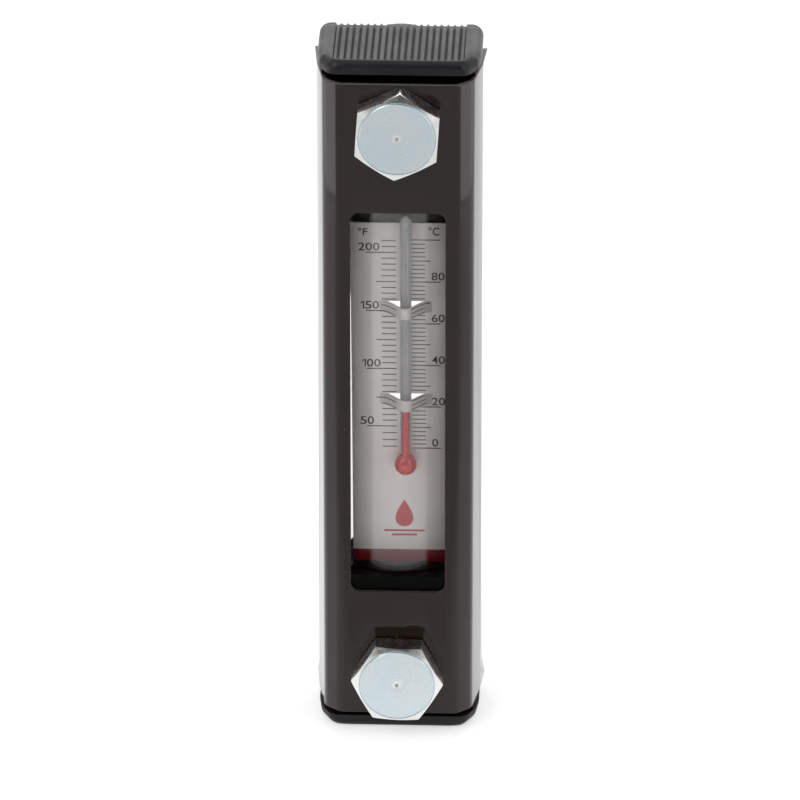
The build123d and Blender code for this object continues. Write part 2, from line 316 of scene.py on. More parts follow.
@dataclass(frozen=True)
class ThinCoat:
    """The black coat inside the channel: dull, and darker than outside, which is painted shade."""

    colour: str = "#0d0b0a"
    worn: str = "#15110f"

    def material(self) -> bpy.types.Material:
        """Black coat, dull and slightly rough, in a darker colour that is painted shade inside the channel.
        """
        return Mottled(
            "steel_black_inner_painted_shade", self.colour, self.worn, cloud=9.0, drift=(0.35, 0.7), roughness=0.55,
            grain=0.5, grain_depth=0.004, shine=0.2,
        ).surface().material


@dataclass(frozen=True)
class ShearedEdge:
    """Sheared end of the steel sheet, drawn a lighter grey than the coat: a painted highlight that shows the
    lit edge as a fine line.
    """

    colour: str = "#463e3a"
    worn: str = "#544c47"

    def material(self) -> bpy.types.Material:
        """Lighter grey mottle on the cut ends: painted highlight."""
        return Mottled(
            "steel_edge_painted_highlight", self.colour, self.worn, cloud=1.5, drift=(0.35, 0.7), roughness=0.45,
            grain=0.3, grain_depth=0.003,
        ).surface().material


@dataclass(frozen=True)
class MouldedNylon:
    """Glass-filled nylon, injection moulded: a satin charcoal skin with a fine grain."""

    colour: str = "#131014"
    bloom: str = "#1d191f"
    roughness: float = 0.4
    shine: float = 0.3
    cloud: float = 6.0
    grain: float = 0.35         # drawn coarser than real, so that it shows
    grain_depth: float = 0.006

    def material(self) -> bpy.types.Material:
        """Satin black moulding with cloudy bloom and grain."""
        skin = Mottled(
            "nylon_black_moulded", self.colour, self.bloom, self.cloud, (0.35, 0.75), self.roughness,
            self.grain, self.grain_depth, self.shine,
        ).surface()
        skin.feed("Roughness", skin.run(
            ("ShaderNodeTexNoise", {"Scale": per_mm(self.cloud), "Detail": 3.0}),
            ("ShaderNodeValToRGB", {"stops": [(0.3, self.roughness - 0.05), (0.8, self.roughness + 0.08)]}),
        ))
        return skin.material


@dataclass(frozen=True)
class ClearAcrylic:
    """Extruded acrylic: colourless and clear, with bright skins and soft draw lines along it."""

    tint: str = "#fdfbfa"
    roughness: float = 0.0
    draw: float = 5.0
    along: float = 0.04         # share of the waves' frequency that is left along the tube
    draw_depth: float = 0.002

    def material(self) -> bpy.types.Material:
        """Clear plastic with long faint waves."""
        clear = Surface(
            "acrylic_clear_extruded", Base_Color=linear(self.tint), Roughness=self.roughness,
            IOR=1.49, Transmission_Weight=1.0,
        )
        clear.feed("Normal", clear.run(
            ("ShaderNodeMapping", {"Scale": (1, 1, self.along)}),
            ("ShaderNodeTexNoise", {"Scale": per_mm(self.draw), "Detail": 1.0}),
            ("ShaderNodeBump", {"Strength": 1.0, "Distance": self.draw_depth * MM}),
        ))
        return clear.material


@dataclass(frozen=True)
class NitrileRubber:
    """Nitrile rubber, moulded: dull near-black with a faint bloom."""

    colour: str = "#161616"
    bloom: str = "#242424"
    roughness: float = 0.62

    def material(self) -> bpy.types.Material:
        """Matt rubber with a light bloom."""
        rubber = Mottled(
            "nitrile_rubber_moulded", self.colour, self.bloom, cloud=2.5, drift=(0.4, 0.75),
            roughness=self.roughness, grain=0.4, grain_depth=0.005,
        ).surface()
        rubber.shader.inputs["IOR"].default_value = 1.52
        return rubber.material


@dataclass(frozen=True)
class EnamelledPlate:
    """Thin aluminium plate with a baked enamel: even, satin, a little warm."""

    name: str
    colour: str
    shade: str
    roughness: float = 0.35

    def material(self) -> bpy.types.Material:
        """Baked satin enamel with a faint cloudiness."""
        return Mottled(
            self.name, self.colour, self.shade, cloud=9.0, drift=(0.3, 0.8), roughness=self.roughness,
            grain=0.5, grain_depth=0.001,
        ).surface().material


@dataclass(frozen=True)
class ScreenInk:
    """Screen printing ink: a thin matt film whose density varies a little."""

    name: str
    colour: str
    thin: str
    cloud: float = 0.8

    def material(self) -> bpy.types.Material:
        """Printed film, a little lighter where it is thin."""
        ink = Surface(self.name, Roughness=0.5, IOR=1.5)
        ink.feed("Base Color", ink.run(
            ("ShaderNodeTexNoise", {"Scale": per_mm(self.cloud), "Detail": 3.0}),
            ("ShaderNodeValToRGB", {"stops": [(0.35, self.colour), (0.75, self.thin)]}),
        ))
        return ink.material


@dataclass(frozen=True)
class DrawnGlass:
    """Soda-lime glass, drawn into a thin tube: clear with a cool tint."""

    tint: str = "#fcfdfd"
    draw: float = 1.2
    along: float = 0.05         # share of the waves' frequency that is left along the stem
    draw_depth: float = 0.0002

    def material(self) -> bpy.types.Material:
        """Clear glass with faint draw waves."""
        glass = Surface(
            "soda_glass_drawn", Base_Color=linear(self.tint), Roughness=0.0, IOR=1.5, Transmission_Weight=1.0
        )
        glass.feed("Normal", glass.run(
            ("ShaderNodeMapping", {"Scale": (1, 1, self.along)}),
            ("ShaderNodeTexNoise", {"Scale": per_mm(self.draw), "Detail": 1.0}),
            ("ShaderNodeBump", {"Strength": 1.0, "Distance": self.draw_depth * MM}),
        ))
        return glass.material


@dataclass(frozen=True)
class DyedSpirit:
    """Alcohol with a red dye: it fills the bore with an even red.

    The faint emission stands for the light that the round glass gathers into the column.
    """

    colour: str = "#f01c2c"
    deep: str = "#e21625"
    cloud: float = 2.0
    glow: float = 0.07

    def material(self) -> bpy.types.Material:
        """Dyed liquid, even and slightly bright."""
        spirit = Surface(
            "spirit_dyed_red", Roughness=0.15, IOR=1.36, Specular_IOR_Level=0.1,
            Emission_Color=linear(self.colour), Emission_Strength=self.glow,
        )
        spirit.feed("Base Color", spirit.run(
            ("ShaderNodeTexNoise", {"Scale": per_mm(self.cloud), "Detail": 3.0}),
            ("ShaderNodeValToRGB", {"stops": [(0.3, self.colour), (0.8, self.deep)]}),
        ))
        return spirit.material


class ZincFace(Enum):
    """How a zinc-plated face was made."""

    TURNED = "turned"
    ROLLED = "rolled"


@dataclass(frozen=True)
class ZincPlated:
    """Steel, bright zinc plated: a cool blue-white metal with soft tool marks."""

    face: ZincFace
    colour: str = "#dbe6ea"
    blue: str = "#d6e4eb"
    warm: str = "#dde6e9"
    cloud: float = 8.0
    roughness: float = 0.2
    dulling: float = 0.12       # how much rougher the handled patches are
    handled: float = 1.6        # size of those patches
    grain: float = 0.25
    turned_grain: float = 0.0004    # depth of the grain left by turning
    rolled_grain: float = 0.0012    # and by rolling
    ring: float = 0.9           # feed of the lathe tool, drawn coarser so that it shows
    ring_depth: float = 0.004
    ring_shade: float = 0.95
    ring_fade: Flat = (2.5, 5.5)    # radii between which that painted darkening of the rings fades
    ring_left: float = 0.1      # share of it that is left past the second
    spot: float = 0.95          # radius of the painted highlight round the centre mark
    spot_edge: float = 0.1      # width over which it ends
    spot_share: float = 0.6
    spot_colour: str = "#f7f5ee"
    turned_radius: float = 8.1  # past it the head's corners are drawn near-white: painted highlight
    forged: str = "#f8f9f6"

    def material(self) -> bpy.types.Material:
        """Plated metal with turning rings or a fine rolled grain; a turned face also gets painted highlights
        and rings darkened by painted reflection.
        """
        turned = self.face is ZincFace.TURNED
        zinc = Surface("steel_zinc_plated_" + self.face.value, Metallic=1.0, Roughness=self.roughness)
        tone = zinc.run(
            ("ShaderNodeTexNoise", {"Scale": per_mm(self.cloud), "Detail": 1.0}),
            ("ShaderNodeValToRGB", {"stops": [(0.3, self.blue), (0.5, self.colour), (0.75, self.warm)]}),
        )
        zinc.feed("Roughness", zinc.run(
            ("ShaderNodeTexNoise", {"Scale": per_mm(self.handled), "Detail": 5.0}),
            ("ShaderNodeValToRGB", {"stops": [(0.3, self.roughness), (0.75, self.roughness + self.dulling)]}),
        ))
        normal = zinc.run(
            ("ShaderNodeTexNoise", {"Scale": per_mm(self.grain), "Detail": 3.0}),
            ("ShaderNodeBump", {
                "Strength": 1.0, "Distance": (self.turned_grain if turned else self.rolled_grain) * MM,
            }),
        )
        if turned:
            flat = add_node(zinc.tree, "ShaderNodeTexCoord").outputs["UV"]      # millimetres on the face
            rings = add_node(
                zinc.tree, "ShaderNodeTexWave",
                {"wave_type": "RINGS", "rings_direction": "SPHERICAL", "Scale": WAVE_REPEAT / self.ring,
                 "Distortion": 0.6, "Detail": 2.0, "Detail Scale": 1.5},
                {"Vector": flat},
            ).outputs["Fac"]
            normal = add_node(
                zinc.tree, "ShaderNodeBump", {"Strength": 1.0, "Distance": self.ring_depth * MM},
                {"Height": rings, "Normal": normal},
            ).outputs["Normal"]
            # The turning marks are real; drawing them darker in the colour, most near the centre, is painted
            # reflection.
            marks = zinc.run(
                ("ShaderNodeValToRGB", {"stops": [(0.0, self.ring_shade), (0.35, 1.0), (1.0, 1.0)]}),
                source=rings,
            )
            reach = add_node(zinc.tree, "ShaderNodeVectorMath", {"operation": "LENGTH"}, {0: flat})
            radius = reach.outputs["Value"]
            inner, outer = self.ring_fade
            fading = add_node(
                zinc.tree, "ShaderNodeMapRange",
                {"From Min": inner, "From Max": outer, "To Min": 1.0, "To Max": self.ring_left},
                {"Value": radius},
            )
            tone = add_node(
                zinc.tree, "ShaderNodeMix", {"data_type": "RGBA", "blend_type": "MULTIPLY"},
                {"Factor": fading.outputs["Result"], 6: tone, 7: marks},
            ).outputs[2]
            # A lighter ring round the centre mark: painted highlight.
            spot_highlight = add_node(
                zinc.tree, "ShaderNodeMapRange",
                {"From Min": self.spot, "From Max": self.spot + self.spot_edge,
                 "To Min": self.spot_share, "To Max": 0.0},
                {"Value": radius},
            )
            # Past the turned face the corners take a near-white: painted highlight.
            rim = add_node(
                zinc.tree, "ShaderNodeMath", {"operation": "GREATER_THAN", 1: self.turned_radius}, {0: radius}
            )
            for share, shade in ((spot_highlight.outputs["Result"], self.spot_colour), (rim.outputs[0], self.forged)):
                tone = add_node(
                    zinc.tree, "ShaderNodeMix", {"data_type": "RGBA", 7: linear(shade)},
                    {"Factor": share, 6: tone},
                ).outputs[2]
        zinc.feed("Base Color", tone)
        zinc.feed("Normal", normal)
        return zinc.material


class Slot(Enum):
    """Material slots of the record."""

    SHEET = "black_sheet"
    MOULDING = "black_moulding"
    TUBE = "clear_tube"
    RUBBER = "seal_rubber"
    SCALE = "scale_white"
    BAND = "scale_red"
    GLASS = "thermometer_glass"
    SPIRIT = "red_spirit"
    ZINC = "zinc_steel"


# ---- mesh building ----------------------------------------------------------

class Shell:
    """Points and faces of one surface, in millimetres."""

    def __init__(self) -> None:
        """Start empty."""
        self.points: list[Point] = []
        self.faces: list[tuple[int, ...]] = []

    def ring(self, points: Sequence[Point]) -> list[int]:
        """Add points and return their numbers."""
        start = len(self.points)
        self.points.extend(points)
        return list(range(start, len(self.points)))

    def span(self, first: Sequence[int], second: Sequence[int], closed: bool = True) -> None:
        """Join two rings of the same count with quads.

        Args:
            first: Point numbers of one ring.
            second: Point numbers of the next.
            closed: Whether the rings close on themselves.
        """
        count = len(first)
        for i in range(count if closed else count - 1):
            j = (i + 1) % count
            self.faces.append((first[i], first[j], second[j], second[i]))

    def loft(self, rings: Sequence[Sequence[Point]], ends: bool = True) -> "Shell":
        """Add a surface through closed rings.

        Args:
            rings: Rings of equal count.
            ends: Whether the first and last ring are filled.

        Returns:
            This shell.
        """
        placed = [self.ring(r) for r in rings]
        for a, b in zip(placed, placed[1:]):
            self.span(a, b)
        if ends:
            self.faces.append(tuple(placed[0]))
            self.faces.append(tuple(placed[-1]))
        return self

    def sheet(self, rows: Sequence[Sequence[Point]]) -> "Shell":
        """Add an open grid of points and return this shell."""
        placed = [self.ring(r) for r in rows]
        for a, b in zip(placed, placed[1:]):
            self.span(a, b, closed=False)
        return self

    def add(self, other: "Shell") -> "Shell":
        """Take in another shell and return this one."""
        start = len(self.points)
        self.points.extend(other.points)
        self.faces.extend(tuple(i + start for i in f) for f in other.faces)
        return self

    def moved(self, change: Callable[[Point], Point]) -> "Shell":
        """Pass every point through a function and return this shell."""
        self.points = [change(p) for p in self.points]
        return self

    def object(self, name: str) -> bpy.types.Object:
        """Make a Blender object of the shell.

        Args:
            name: Object name.

        Returns:
            The object, linked to the scene, with outward normals.
        """
        mesh = bpy.data.meshes.new(name)
        mesh.from_pydata([tuple(c * MM for c in p) for p in self.points], [], self.faces)
        work = bmesh.new()
        work.from_mesh(mesh)
        bmesh.ops.remove_doubles(work, verts=work.verts, dist=1e-7)
        bmesh.ops.recalc_face_normals(work, faces=work.faces)
        work.to_mesh(mesh)
        work.free()
        obj = bpy.data.objects.new(name, mesh)
        bpy.context.scene.collection.objects.link(obj)
        return obj


def rounded(corners: Sequence[Flat], radii: Sequence[float], steps: int = 7) -> list[Flat]:
    """Round the corners of a closed outline.

    Args:
        corners: Corners in order.
        radii: A radius for each corner, 0 to keep it sharp.
        steps: Points on each arc.

    Returns:
        Points of the rounded outline.
    """
    out: list[Flat] = []
    count = len(corners)
    for i, (x, y) in enumerate(corners):
        if not radii[i]:
            out.append((x, y))
            continue
        ends = []
        for other in (corners[i - 1], corners[(i + 1) % count]):
            run = math.hypot(other[0] - x, other[1] - y)
            ends.append(((other[0] - x) / run, (other[1] - y) / run))
        (ax, ay), (bx, by) = ends
        half = math.acos(max(-1.0, min(1.0, ax * bx + ay * by))) / 2
        reach = radii[i] / math.tan(half)
        bis = math.hypot(ax + bx, ay + by)
        far = radii[i] / math.sin(half)
        cx, cy = x + (ax + bx) / bis * far, y + (ay + by) / bis * far
        start = math.atan2(y + ay * reach - cy, x + ax * reach - cx)
        turn = math.atan2(y + by * reach - cy, x + bx * reach - cx) - start
        turn = (turn + math.pi) % (2 * math.pi) - math.pi
        for k in range(steps + 1):
            angle = start + turn * k / steps
            out.append((cx + radii[i] * math.cos(angle), cy + radii[i] * math.sin(angle)))
    return out


def mirrored(right: Sequence[Flat]) -> list[Flat]:
    """Close a right-hand run of points with its mirror image."""
    return list(right) + [(-x, y) for x, y in reversed(right)]


def prism(outline: Sequence[Flat], low: float, high: float) -> Shell:
    """Extrude an X-Y outline between two heights."""
    return Shell().loft([[(x, y, z) for x, y in outline] for z in (low, high)])


def bar_y(outline: Sequence[Flat], low: float, high: float) -> Shell:
    """Extrude an X-Z outline between two Y levels."""
    return Shell().loft([[(x, y, z) for x, z in outline] for y in (low, high)])


def turned(profile: Sequence[Flat], segments: int = 96, centre: float = 0.0, filled: bool = True) -> Shell:
    """Revolve a profile round an axis along Y.

    Args:
        profile: Pairs of radius and Y level.
        segments: Divisions round the axis.
        centre: Height of the axis.
        filled: Whether both ends are filled; a closed profile needs no filling.

    Returns:
        The turned shell.
    """
    rings = []
    for radius, y in profile:
        ring = []
        for i in range(segments):
            angle = 2 * math.pi * i / segments
            ring.append((radius * math.cos(angle), y, centre + radius * math.sin(angle)))
        rings.append(ring)
    return Shell().loft(rings, filled)


def round_bar(radius: float, low: float, high: float, centre: float) -> Shell:
    """A round bar along Y whose axis is at a height."""
    return turned([(radius, low), (radius, high)], centre=centre)


def modified(obj: bpy.types.Object, kind: str, **settings: Any) -> bpy.types.Object:
    """Add a modifier and apply it.

    Args:
        obj: Object that is changed.
        kind: Modifier type.
        settings: The modifier's properties.

    Returns:
        The same object with a new mesh.
    """
    modifier = obj.modifiers.new(kind.lower(), kind)
    for key, value in settings.items():
        setattr(modifier, key, value)
    bpy.context.view_layer.update()
    ready = obj.evaluated_get(bpy.context.evaluated_depsgraph_get())
    mesh = bpy.data.meshes.new_from_object(ready)
    obj.modifiers.clear()
    old = obj.data
    obj.data = mesh
    bpy.data.meshes.remove(old)
    return obj


def combine(obj: bpy.types.Object, tools: Sequence[Shell], operation: str) -> bpy.types.Object:
    """Join or cut an object with shells, exactly.

    Args:
        obj: Object that is changed.
        tools: Closed shells.
        operation: UNION, DIFFERENCE or INTERSECT.

    Returns:
        The same object.
    """
    for tool in tools:
        other = tool.object("tool")
        modified(obj, "BOOLEAN", operation=operation, object=other, solver="EXACT")
        mesh = other.data
        bpy.data.objects.remove(other)
        bpy.data.meshes.remove(mesh)
    return obj


def soften(obj: bpy.types.Object, width: float, angle: float = 35.0, segments: int = 3) -> bpy.types.Object:
    """Round the sharp edges of an object.

    Args:
        obj: Object that is changed.
        width: Width of the rounding in millimetres.
        angle: Edges that turn by more than this many degrees are rounded.
        segments: Faces across the rounding.

    Returns:
        The same object.
    """
    work = bmesh.new()
    work.from_mesh(obj.data)
    bmesh.ops.dissolve_limit(work, angle_limit=math.radians(0.05), verts=work.verts, edges=work.edges)
    work.to_mesh(obj.data)
    work.free()
    return modified(
        obj, "BEVEL", width=width * MM, segments=segments, limit_method="ANGLE",
        angle_limit=math.radians(angle), use_clamp_overlap=True, miter_outer="MITER_ARC",
    )


class Bench:
    """Puts finished pieces into the shared frame."""

    def __init__(self) -> None:
        """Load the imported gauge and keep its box."""
        self.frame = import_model()
        self.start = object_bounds()
        self.materials: dict[str, bpy.types.Material] = {}

    def finish(self, finish: Any) -> bpy.types.Material:
        """The material of a finish, made once."""
        key = repr(finish)
        if key not in self.materials:
            self.materials[key] = finish.material()
        return self.materials[key]

    def place(
        self, obj: bpy.types.Object, slot: Slot, finish: Any, nodes: Sequence[str] = (), crease: float = 30.0
    ) -> bpy.types.Object:
        """Shade a piece, give it its finish and tie it to the frame.

        Args:
            obj: The piece.
            slot: Record slot that it takes its finish from.
            finish: The finish.
            nodes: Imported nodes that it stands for.
            crease: Edges sharper than this many degrees stay crisp.

        Returns:
            The piece.
        """
        obj.data.shade_smooth()
        obj.data.set_sharp_from_angle(angle=math.radians(crease))
        obj.data.materials.clear()
        obj.data.materials.append(self.finish(finish))
        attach(obj, "root")
        if nodes:
            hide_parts(*nodes)
        log.info("%s: %d faces", obj.name, len(obj.data.polygons))
        return obj

    def dress(self, node: str, finish: Any) -> None:
        """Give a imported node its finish."""
        obj = self.frame["nodes"][node]
        for place in obj.material_slots:
            place.material = self.finish(finish)
        log.info("%s: packed node dressed", node)

    def close(self) -> None:
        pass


def levels(node: str) -> tuple[Point, Point]:
    """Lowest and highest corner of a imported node, in millimetres."""
    low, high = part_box(node)
    return tuple(c / MM for c in low), tuple(c / MM for c in high)


# ---- the folded channel -----------------------------------------------------

@dataclass
class Housing:
    """Folded sheet channel with a window and two bolt holes."""

    sheet: float = 1.0
    flat_width: float = 24.8
    bevel_width: float = 31.4
    bevel_depth: float = 2.8
    wall_bend_width: float = 34.6
    wall_bend_depth: float = 12.0
    rear_width: float = 34.9
    fold_radius: float = 3.0
    flare: float = 0.6
    flare_length: float = 4.0
    flare_steps: int = 5
    window: Flat = (19.9, 88.0)
    window_corner: float = 1.8
    hole: float = 10.6
    bolt_level: float = 63.5
    edge: float = 0.26

    def section(self, spread: float) -> list[Flat]:
        """Outline of the folded sheet.

        Args:
            spread: How far the rear edges stand out.

        Returns:
            Outer run and inner run as one closed outline.
        """
        run = [
            (self.rear_width / 2 + spread, self.rear),
            (self.wall_bend_width / 2, self.front + self.wall_bend_depth),
            (self.bevel_width / 2, self.front + self.bevel_depth),
            (self.flat_width / 2, self.front),
        ]
        inner = []
        track = run + [(0.0, self.front)]
        for i, here in enumerate(run):
            after = track[i + 1]
            before = track[i - 1] if i else (2 * here[0] - after[0], 2 * here[1] - after[1])
            normals = []
            for a, b in ((before, here), (here, after)):
                length = math.dist(a, b)
                normals.append(((b[1] - a[1]) / length, -(b[0] - a[0]) / length))
            (px, py), (qx, qy) = normals
            share = self.sheet / (1 + px * qx + py * qy)
            inner.append((here[0] + (px + qx) * share, here[1] + (py + qy) * share))
        inner[0] = (inner[0][0], self.rear)
        tight = self.fold_radius - self.sheet
        outer_radii = [0] + [self.fold_radius] * 6 + [0]
        inner_radii = [0] + [tight] * 6 + [0]
        corners = mirrored(run) + list(reversed(mirrored(inner)))
        return rounded(corners, outer_radii + inner_radii)

    def build(self, bench: Bench) -> None:
        """Fold the sheet, cut its openings and coat it.

        Args:
            bench: Where the piece goes.
        """
        low, high = levels("housing_channel")
        self.front, self.rear = low[1], high[1]
        half = high[2]
        shares = [i / self.flare_steps for i in range(self.flare_steps + 1)]
        stations = [half - self.flare_length * (1 - share) for share in shares]
        rings = []
        for z in [-s for s in reversed(stations)] + stations:
            share = max(0.0, 1 - (half - abs(z)) / self.flare_length)
            rings.append([(x, y, z) for x, y in self.section(self.flare * share ** 1.3)])
        channel = Shell().loft(rings).object("folded_channel")
        wide, tall = self.window
        frame = rounded(
            [(-wide / 2, -tall / 2), (wide / 2, -tall / 2), (wide / 2, tall / 2), (-wide / 2, tall / 2)],
            [self.window_corner] * 4,
        )
        past = 3 * self.sheet
        cuts = [bar_y(frame, self.front - past, self.front + past)]
        for level in (self.bolt_level, -self.bolt_level):
            cuts.append(round_bar(self.hole / 2, self.front - past, self.front + past, level))
        combine(channel, cuts, "DIFFERENCE")
        soften(channel, self.edge)
        bench.place(channel, Slot.SHEET, PaintedSheet(), ["housing_channel"])
        self.thin_coat(channel, bench)

    def thin_coat(self, channel: bpy.types.Object, bench: Bench) -> None:
        """Give the inside a darker, duller coat, which is painted shade, and the sheared ends a lighter grey,
        which is a painted highlight.

        Args:
            channel: The folded channel.
            bench: Where the finishes are kept.
        """
        for finish in (ThinCoat(), ShearedEdge()):
            channel.data.materials.append(bench.finish(finish))
        # Sheared ends take a lighter grey, a painted highlight; faces that look into the channel take a
        # darker coat, painted shade.
        for face in channel.data.polygons:
            if abs(face.normal.z) > 0.5 and abs(face.center.z) > self.bolt_level * MM:
                face.material_index = 2
            elif face.normal.x * face.center.x + face.normal.y * (face.center.y - self.rear * MM) < 0:
                face.material_index = 1


# ---- end caps ---------------------------------------------------------------

class End(Enum):
    """Which end of the gauge."""

    UPPER = 1
    LOWER = -1

    @property
    def word(self) -> str:
        """Lower-case name of the end."""
        return self.name.lower()


@dataclass
class EndCap:
    """Moulded end cap: ribbed end plate, block, boss, crown, cradle and plug."""

    end: End
    cradle_reach: float
    plate_thick: float = 2.9
    half_width: float = 17.1
    front_width: float = 28.6
    bend_depth: float = 8.5
    shoulder_width: float = 33.2
    shoulder_depth: float = 4.2
    corner_front: float = 3.0
    side_radius: float = 2.5
    front_radius: float = 1.7
    rib_start: float = 0.75     # share of the edge radius that the grooves leave plain
    rib_run_out: float = 0.45
    rear_edge: float = 0.12
    rib_count: int = 19
    rib_zone: float = 26.4
    rib_depth: float = 0.52
    rib_crest: float = 2.6       # above 1 it draws narrow crests between hollow valleys
    rib_samples: int = 12
    block_front: Flat = (23.0, 24.8)
    block_shoulder: Flat = (28.4, 2.3)
    block_bend: Flat = (30.2, 10.0)
    block_reach: float = 10.7
    neck_front: float = 4.0
    neck_width: float = 31.8
    neck_inside: float = 2.0
    boss_radius: float = 13.1
    boss_height: float = 2.2
    crown_radius: float = 34.0
    crown_rise: float = 1.9
    tongue_reach: float = 27.0
    tongue_thick: float = 1.2
    tongue_width: float = 20.0
    bolt_level: float = 63.5
    socket_reach: float = 8.7
    sheet: float = 1.0          # the channel's sheet, whose inside the block meets
    set_back: float = 1.5       # how far the plate stands behind the channel's front
    set_back_least: float = 1.2 # unless the frame already has it further back than this
    overlap: float = 0.5        # how far united pieces run into each other
    plate_overlap: float = 0.3
    crown_inset: float = 0.01   # keeps the crown's sides off the block's
    jaw_relief: float = 0.05    # the jaw starts this much ahead of the split
    jaw_edge: float = 0.35
    plate_gap: float = 0.55     # from the split to the tongue's front
    tube_gap: float = 0.3
    ring_seat: float = 7.3
    ring_depth: float = 1.9
    edge: float = 0.25

    def outline(self, rear: float, front: float) -> list[Flat]:
        """Plan of the end plate, from the rear right round the front to the rear left."""
        right = [
            (self.half_width, rear),
            (self.half_width, front + self.bend_depth),
            (self.shoulder_width / 2, front + self.shoulder_depth),
            (self.front_width / 2, front),
        ]
        radii = [0.0, 6.0, 3.0, self.corner_front]
        return rounded(mirrored(right), radii + radii[::-1], 9)

    def groove(self, x: float) -> float:
        """Depth below the rib tops at a place across the plate."""
        pitch = self.rib_zone / self.rib_count
        if abs(x) > self.rib_zone / 2 + pitch / 2:
            return 0.0
        from_groove = abs((x / pitch + self.rib_count / 2 + 0.5) % 1 - 0.5) * 2
        if abs(x) > self.rib_zone / 2:
            from_groove = min(1.0, from_groove * 1.6)
        crest = max(0.0, from_groove - 0.05) / 0.95
        return self.rib_depth * (1 - crest ** self.rib_crest)

    def end_plate(self, rear: float, front: float, inner: float) -> Shell:
        """Ribbed end plate as columns of points across the gauge.

        Args:
            rear: Y level of its rear edge.
            front: Y level of its front edge.
            inner: Height of its inner face.

        Returns:
            The closed shell, for the upper end.
        """
        plan = self.outline(rear, front)
        sides = [(a, b) for a, b in zip(plan, plan[1:]) if a != b]

        def reach(x: float) -> float:
            """Front level of the plan at a place across."""
            hits = [
                ay + (by - ay) * (x - ax) / (bx - ax)
                for (ax, ay), (bx, by) in sides if min(ax, bx) <= x <= max(ax, bx) and ax != bx
            ]
            return min(hits)

        def inset(x: float, y: float) -> float:
            """Distance from the plan's front and side edges."""
            best = 1e9
            for (ax, ay), (bx, by) in sides:
                dx, dy = bx - ax, by - ay
                share = max(0.0, min(1.0, ((x - ax) * dx + (y - ay) * dy) / (dx * dx + dy * dy)))
                best = min(best, math.hypot(ax + dx * share - x, ay + dy * share - y))
            return best

        def rounding(x: float) -> float:
            """Radius between the end face and the walls: small in front, large at the sides."""
            share = max(0.0, min(1.0, (abs(x) - 10.5) / (self.half_width - 12.0)))
            spread = self.side_radius - self.front_radius
            return self.front_radius + spread * share * share * (3 - 2 * share)

        pitch = self.rib_zone / self.rib_count
        ribs = (self.rib_count + 1) * self.rib_samples
        inside = [(-self.rib_zone - pitch) / 2 + (self.rib_zone + pitch) * i / ribs for i in range(ribs + 1)]
        edge = self.half_width - 1e-4
        start = inside[-1]
        side = [start + (edge - start) * math.sin(math.pi / 2 * i / 18) for i in range(1, 19)]
        across = [-x for x in reversed(side)] + inside + side
        top = inner + self.plate_thick
        rows = []
        for x in across:
            near = reach(x)
            radius = rounding(x)
            ys = [near + radius * (1 - math.cos(math.pi / 2 * i / 12)) for i in range(13)]
            far = rear - self.rear_edge
            ys += [ys[-1] + self.rib_run_out * share for share in (0.35, 0.7, 1.1)]
            ys += [ys[-1] + (far - ys[-1]) * i / 8 for i in range(1, 9)] + [rear]
            row = []
            for k, y in enumerate(ys):
                deep = 0.0 if k == 0 else inset(x, min(y, far))
                z = top - radius + math.sqrt(radius ** 2 - max(0.0, radius - deep) ** 2)
                run = max(0.0, min(1.0, (y - near - radius * self.rib_start) / self.rib_run_out))
                z = min(z, top - self.groove(x) * run) - (self.rear_edge if y == rear else 0.0)
                row.append((x, y, z))
            rows.append(row)
        shell = Shell().sheet(rows)
        count = len(rows[0])
        last = (len(rows) - 1) * count
        loop = list(range(count)) + [i * count + count - 1 for i in range(1, len(rows))]
        loop += [last + k for k in range(count - 2, -1, -1)]
        loop += [i * count for i in range(len(rows) - 2, 0, -1)]
        foot = shell.ring([(shell.points[i][0], shell.points[i][1], inner) for i in loop])
        shell.span(loop, foot)
        shell.faces.append(tuple(foot))
        return shell

    def flipped(self, shell: Shell) -> Shell:
        """Move an upper-end shell to this cap's end."""
        side = self.end.value
        return shell.moved(lambda p: (p[0], p[1], side * p[2]))

    def build(self, bench: Bench, tube: "SightTube") -> None:
        """Mould the cap's pieces and finish them.

        Args:
            bench: Where the pieces go.
            tube: The sight tube that it holds.
        """
        node = self.end.word + "_end_cap"
        low, high = levels(node)
        channel_low, _ = levels("housing_channel")
        boss_face = levels(node)[1][1]
        rear = boss_face - self.boss_height
        set_back = low[1] > channel_low[1] + self.set_back_least
        front = low[1] if set_back else channel_low[1] + self.set_back
        outer = max(abs(low[2]), abs(high[2]))
        inner = outer - self.plate_thick
        plate = self.flipped(self.end_plate(rear, front, inner)).object(self.end.word + "_cap_end_plate")
        bench.place(plate, Slot.MOULDING, MouldedNylon(), [node], 50.0)

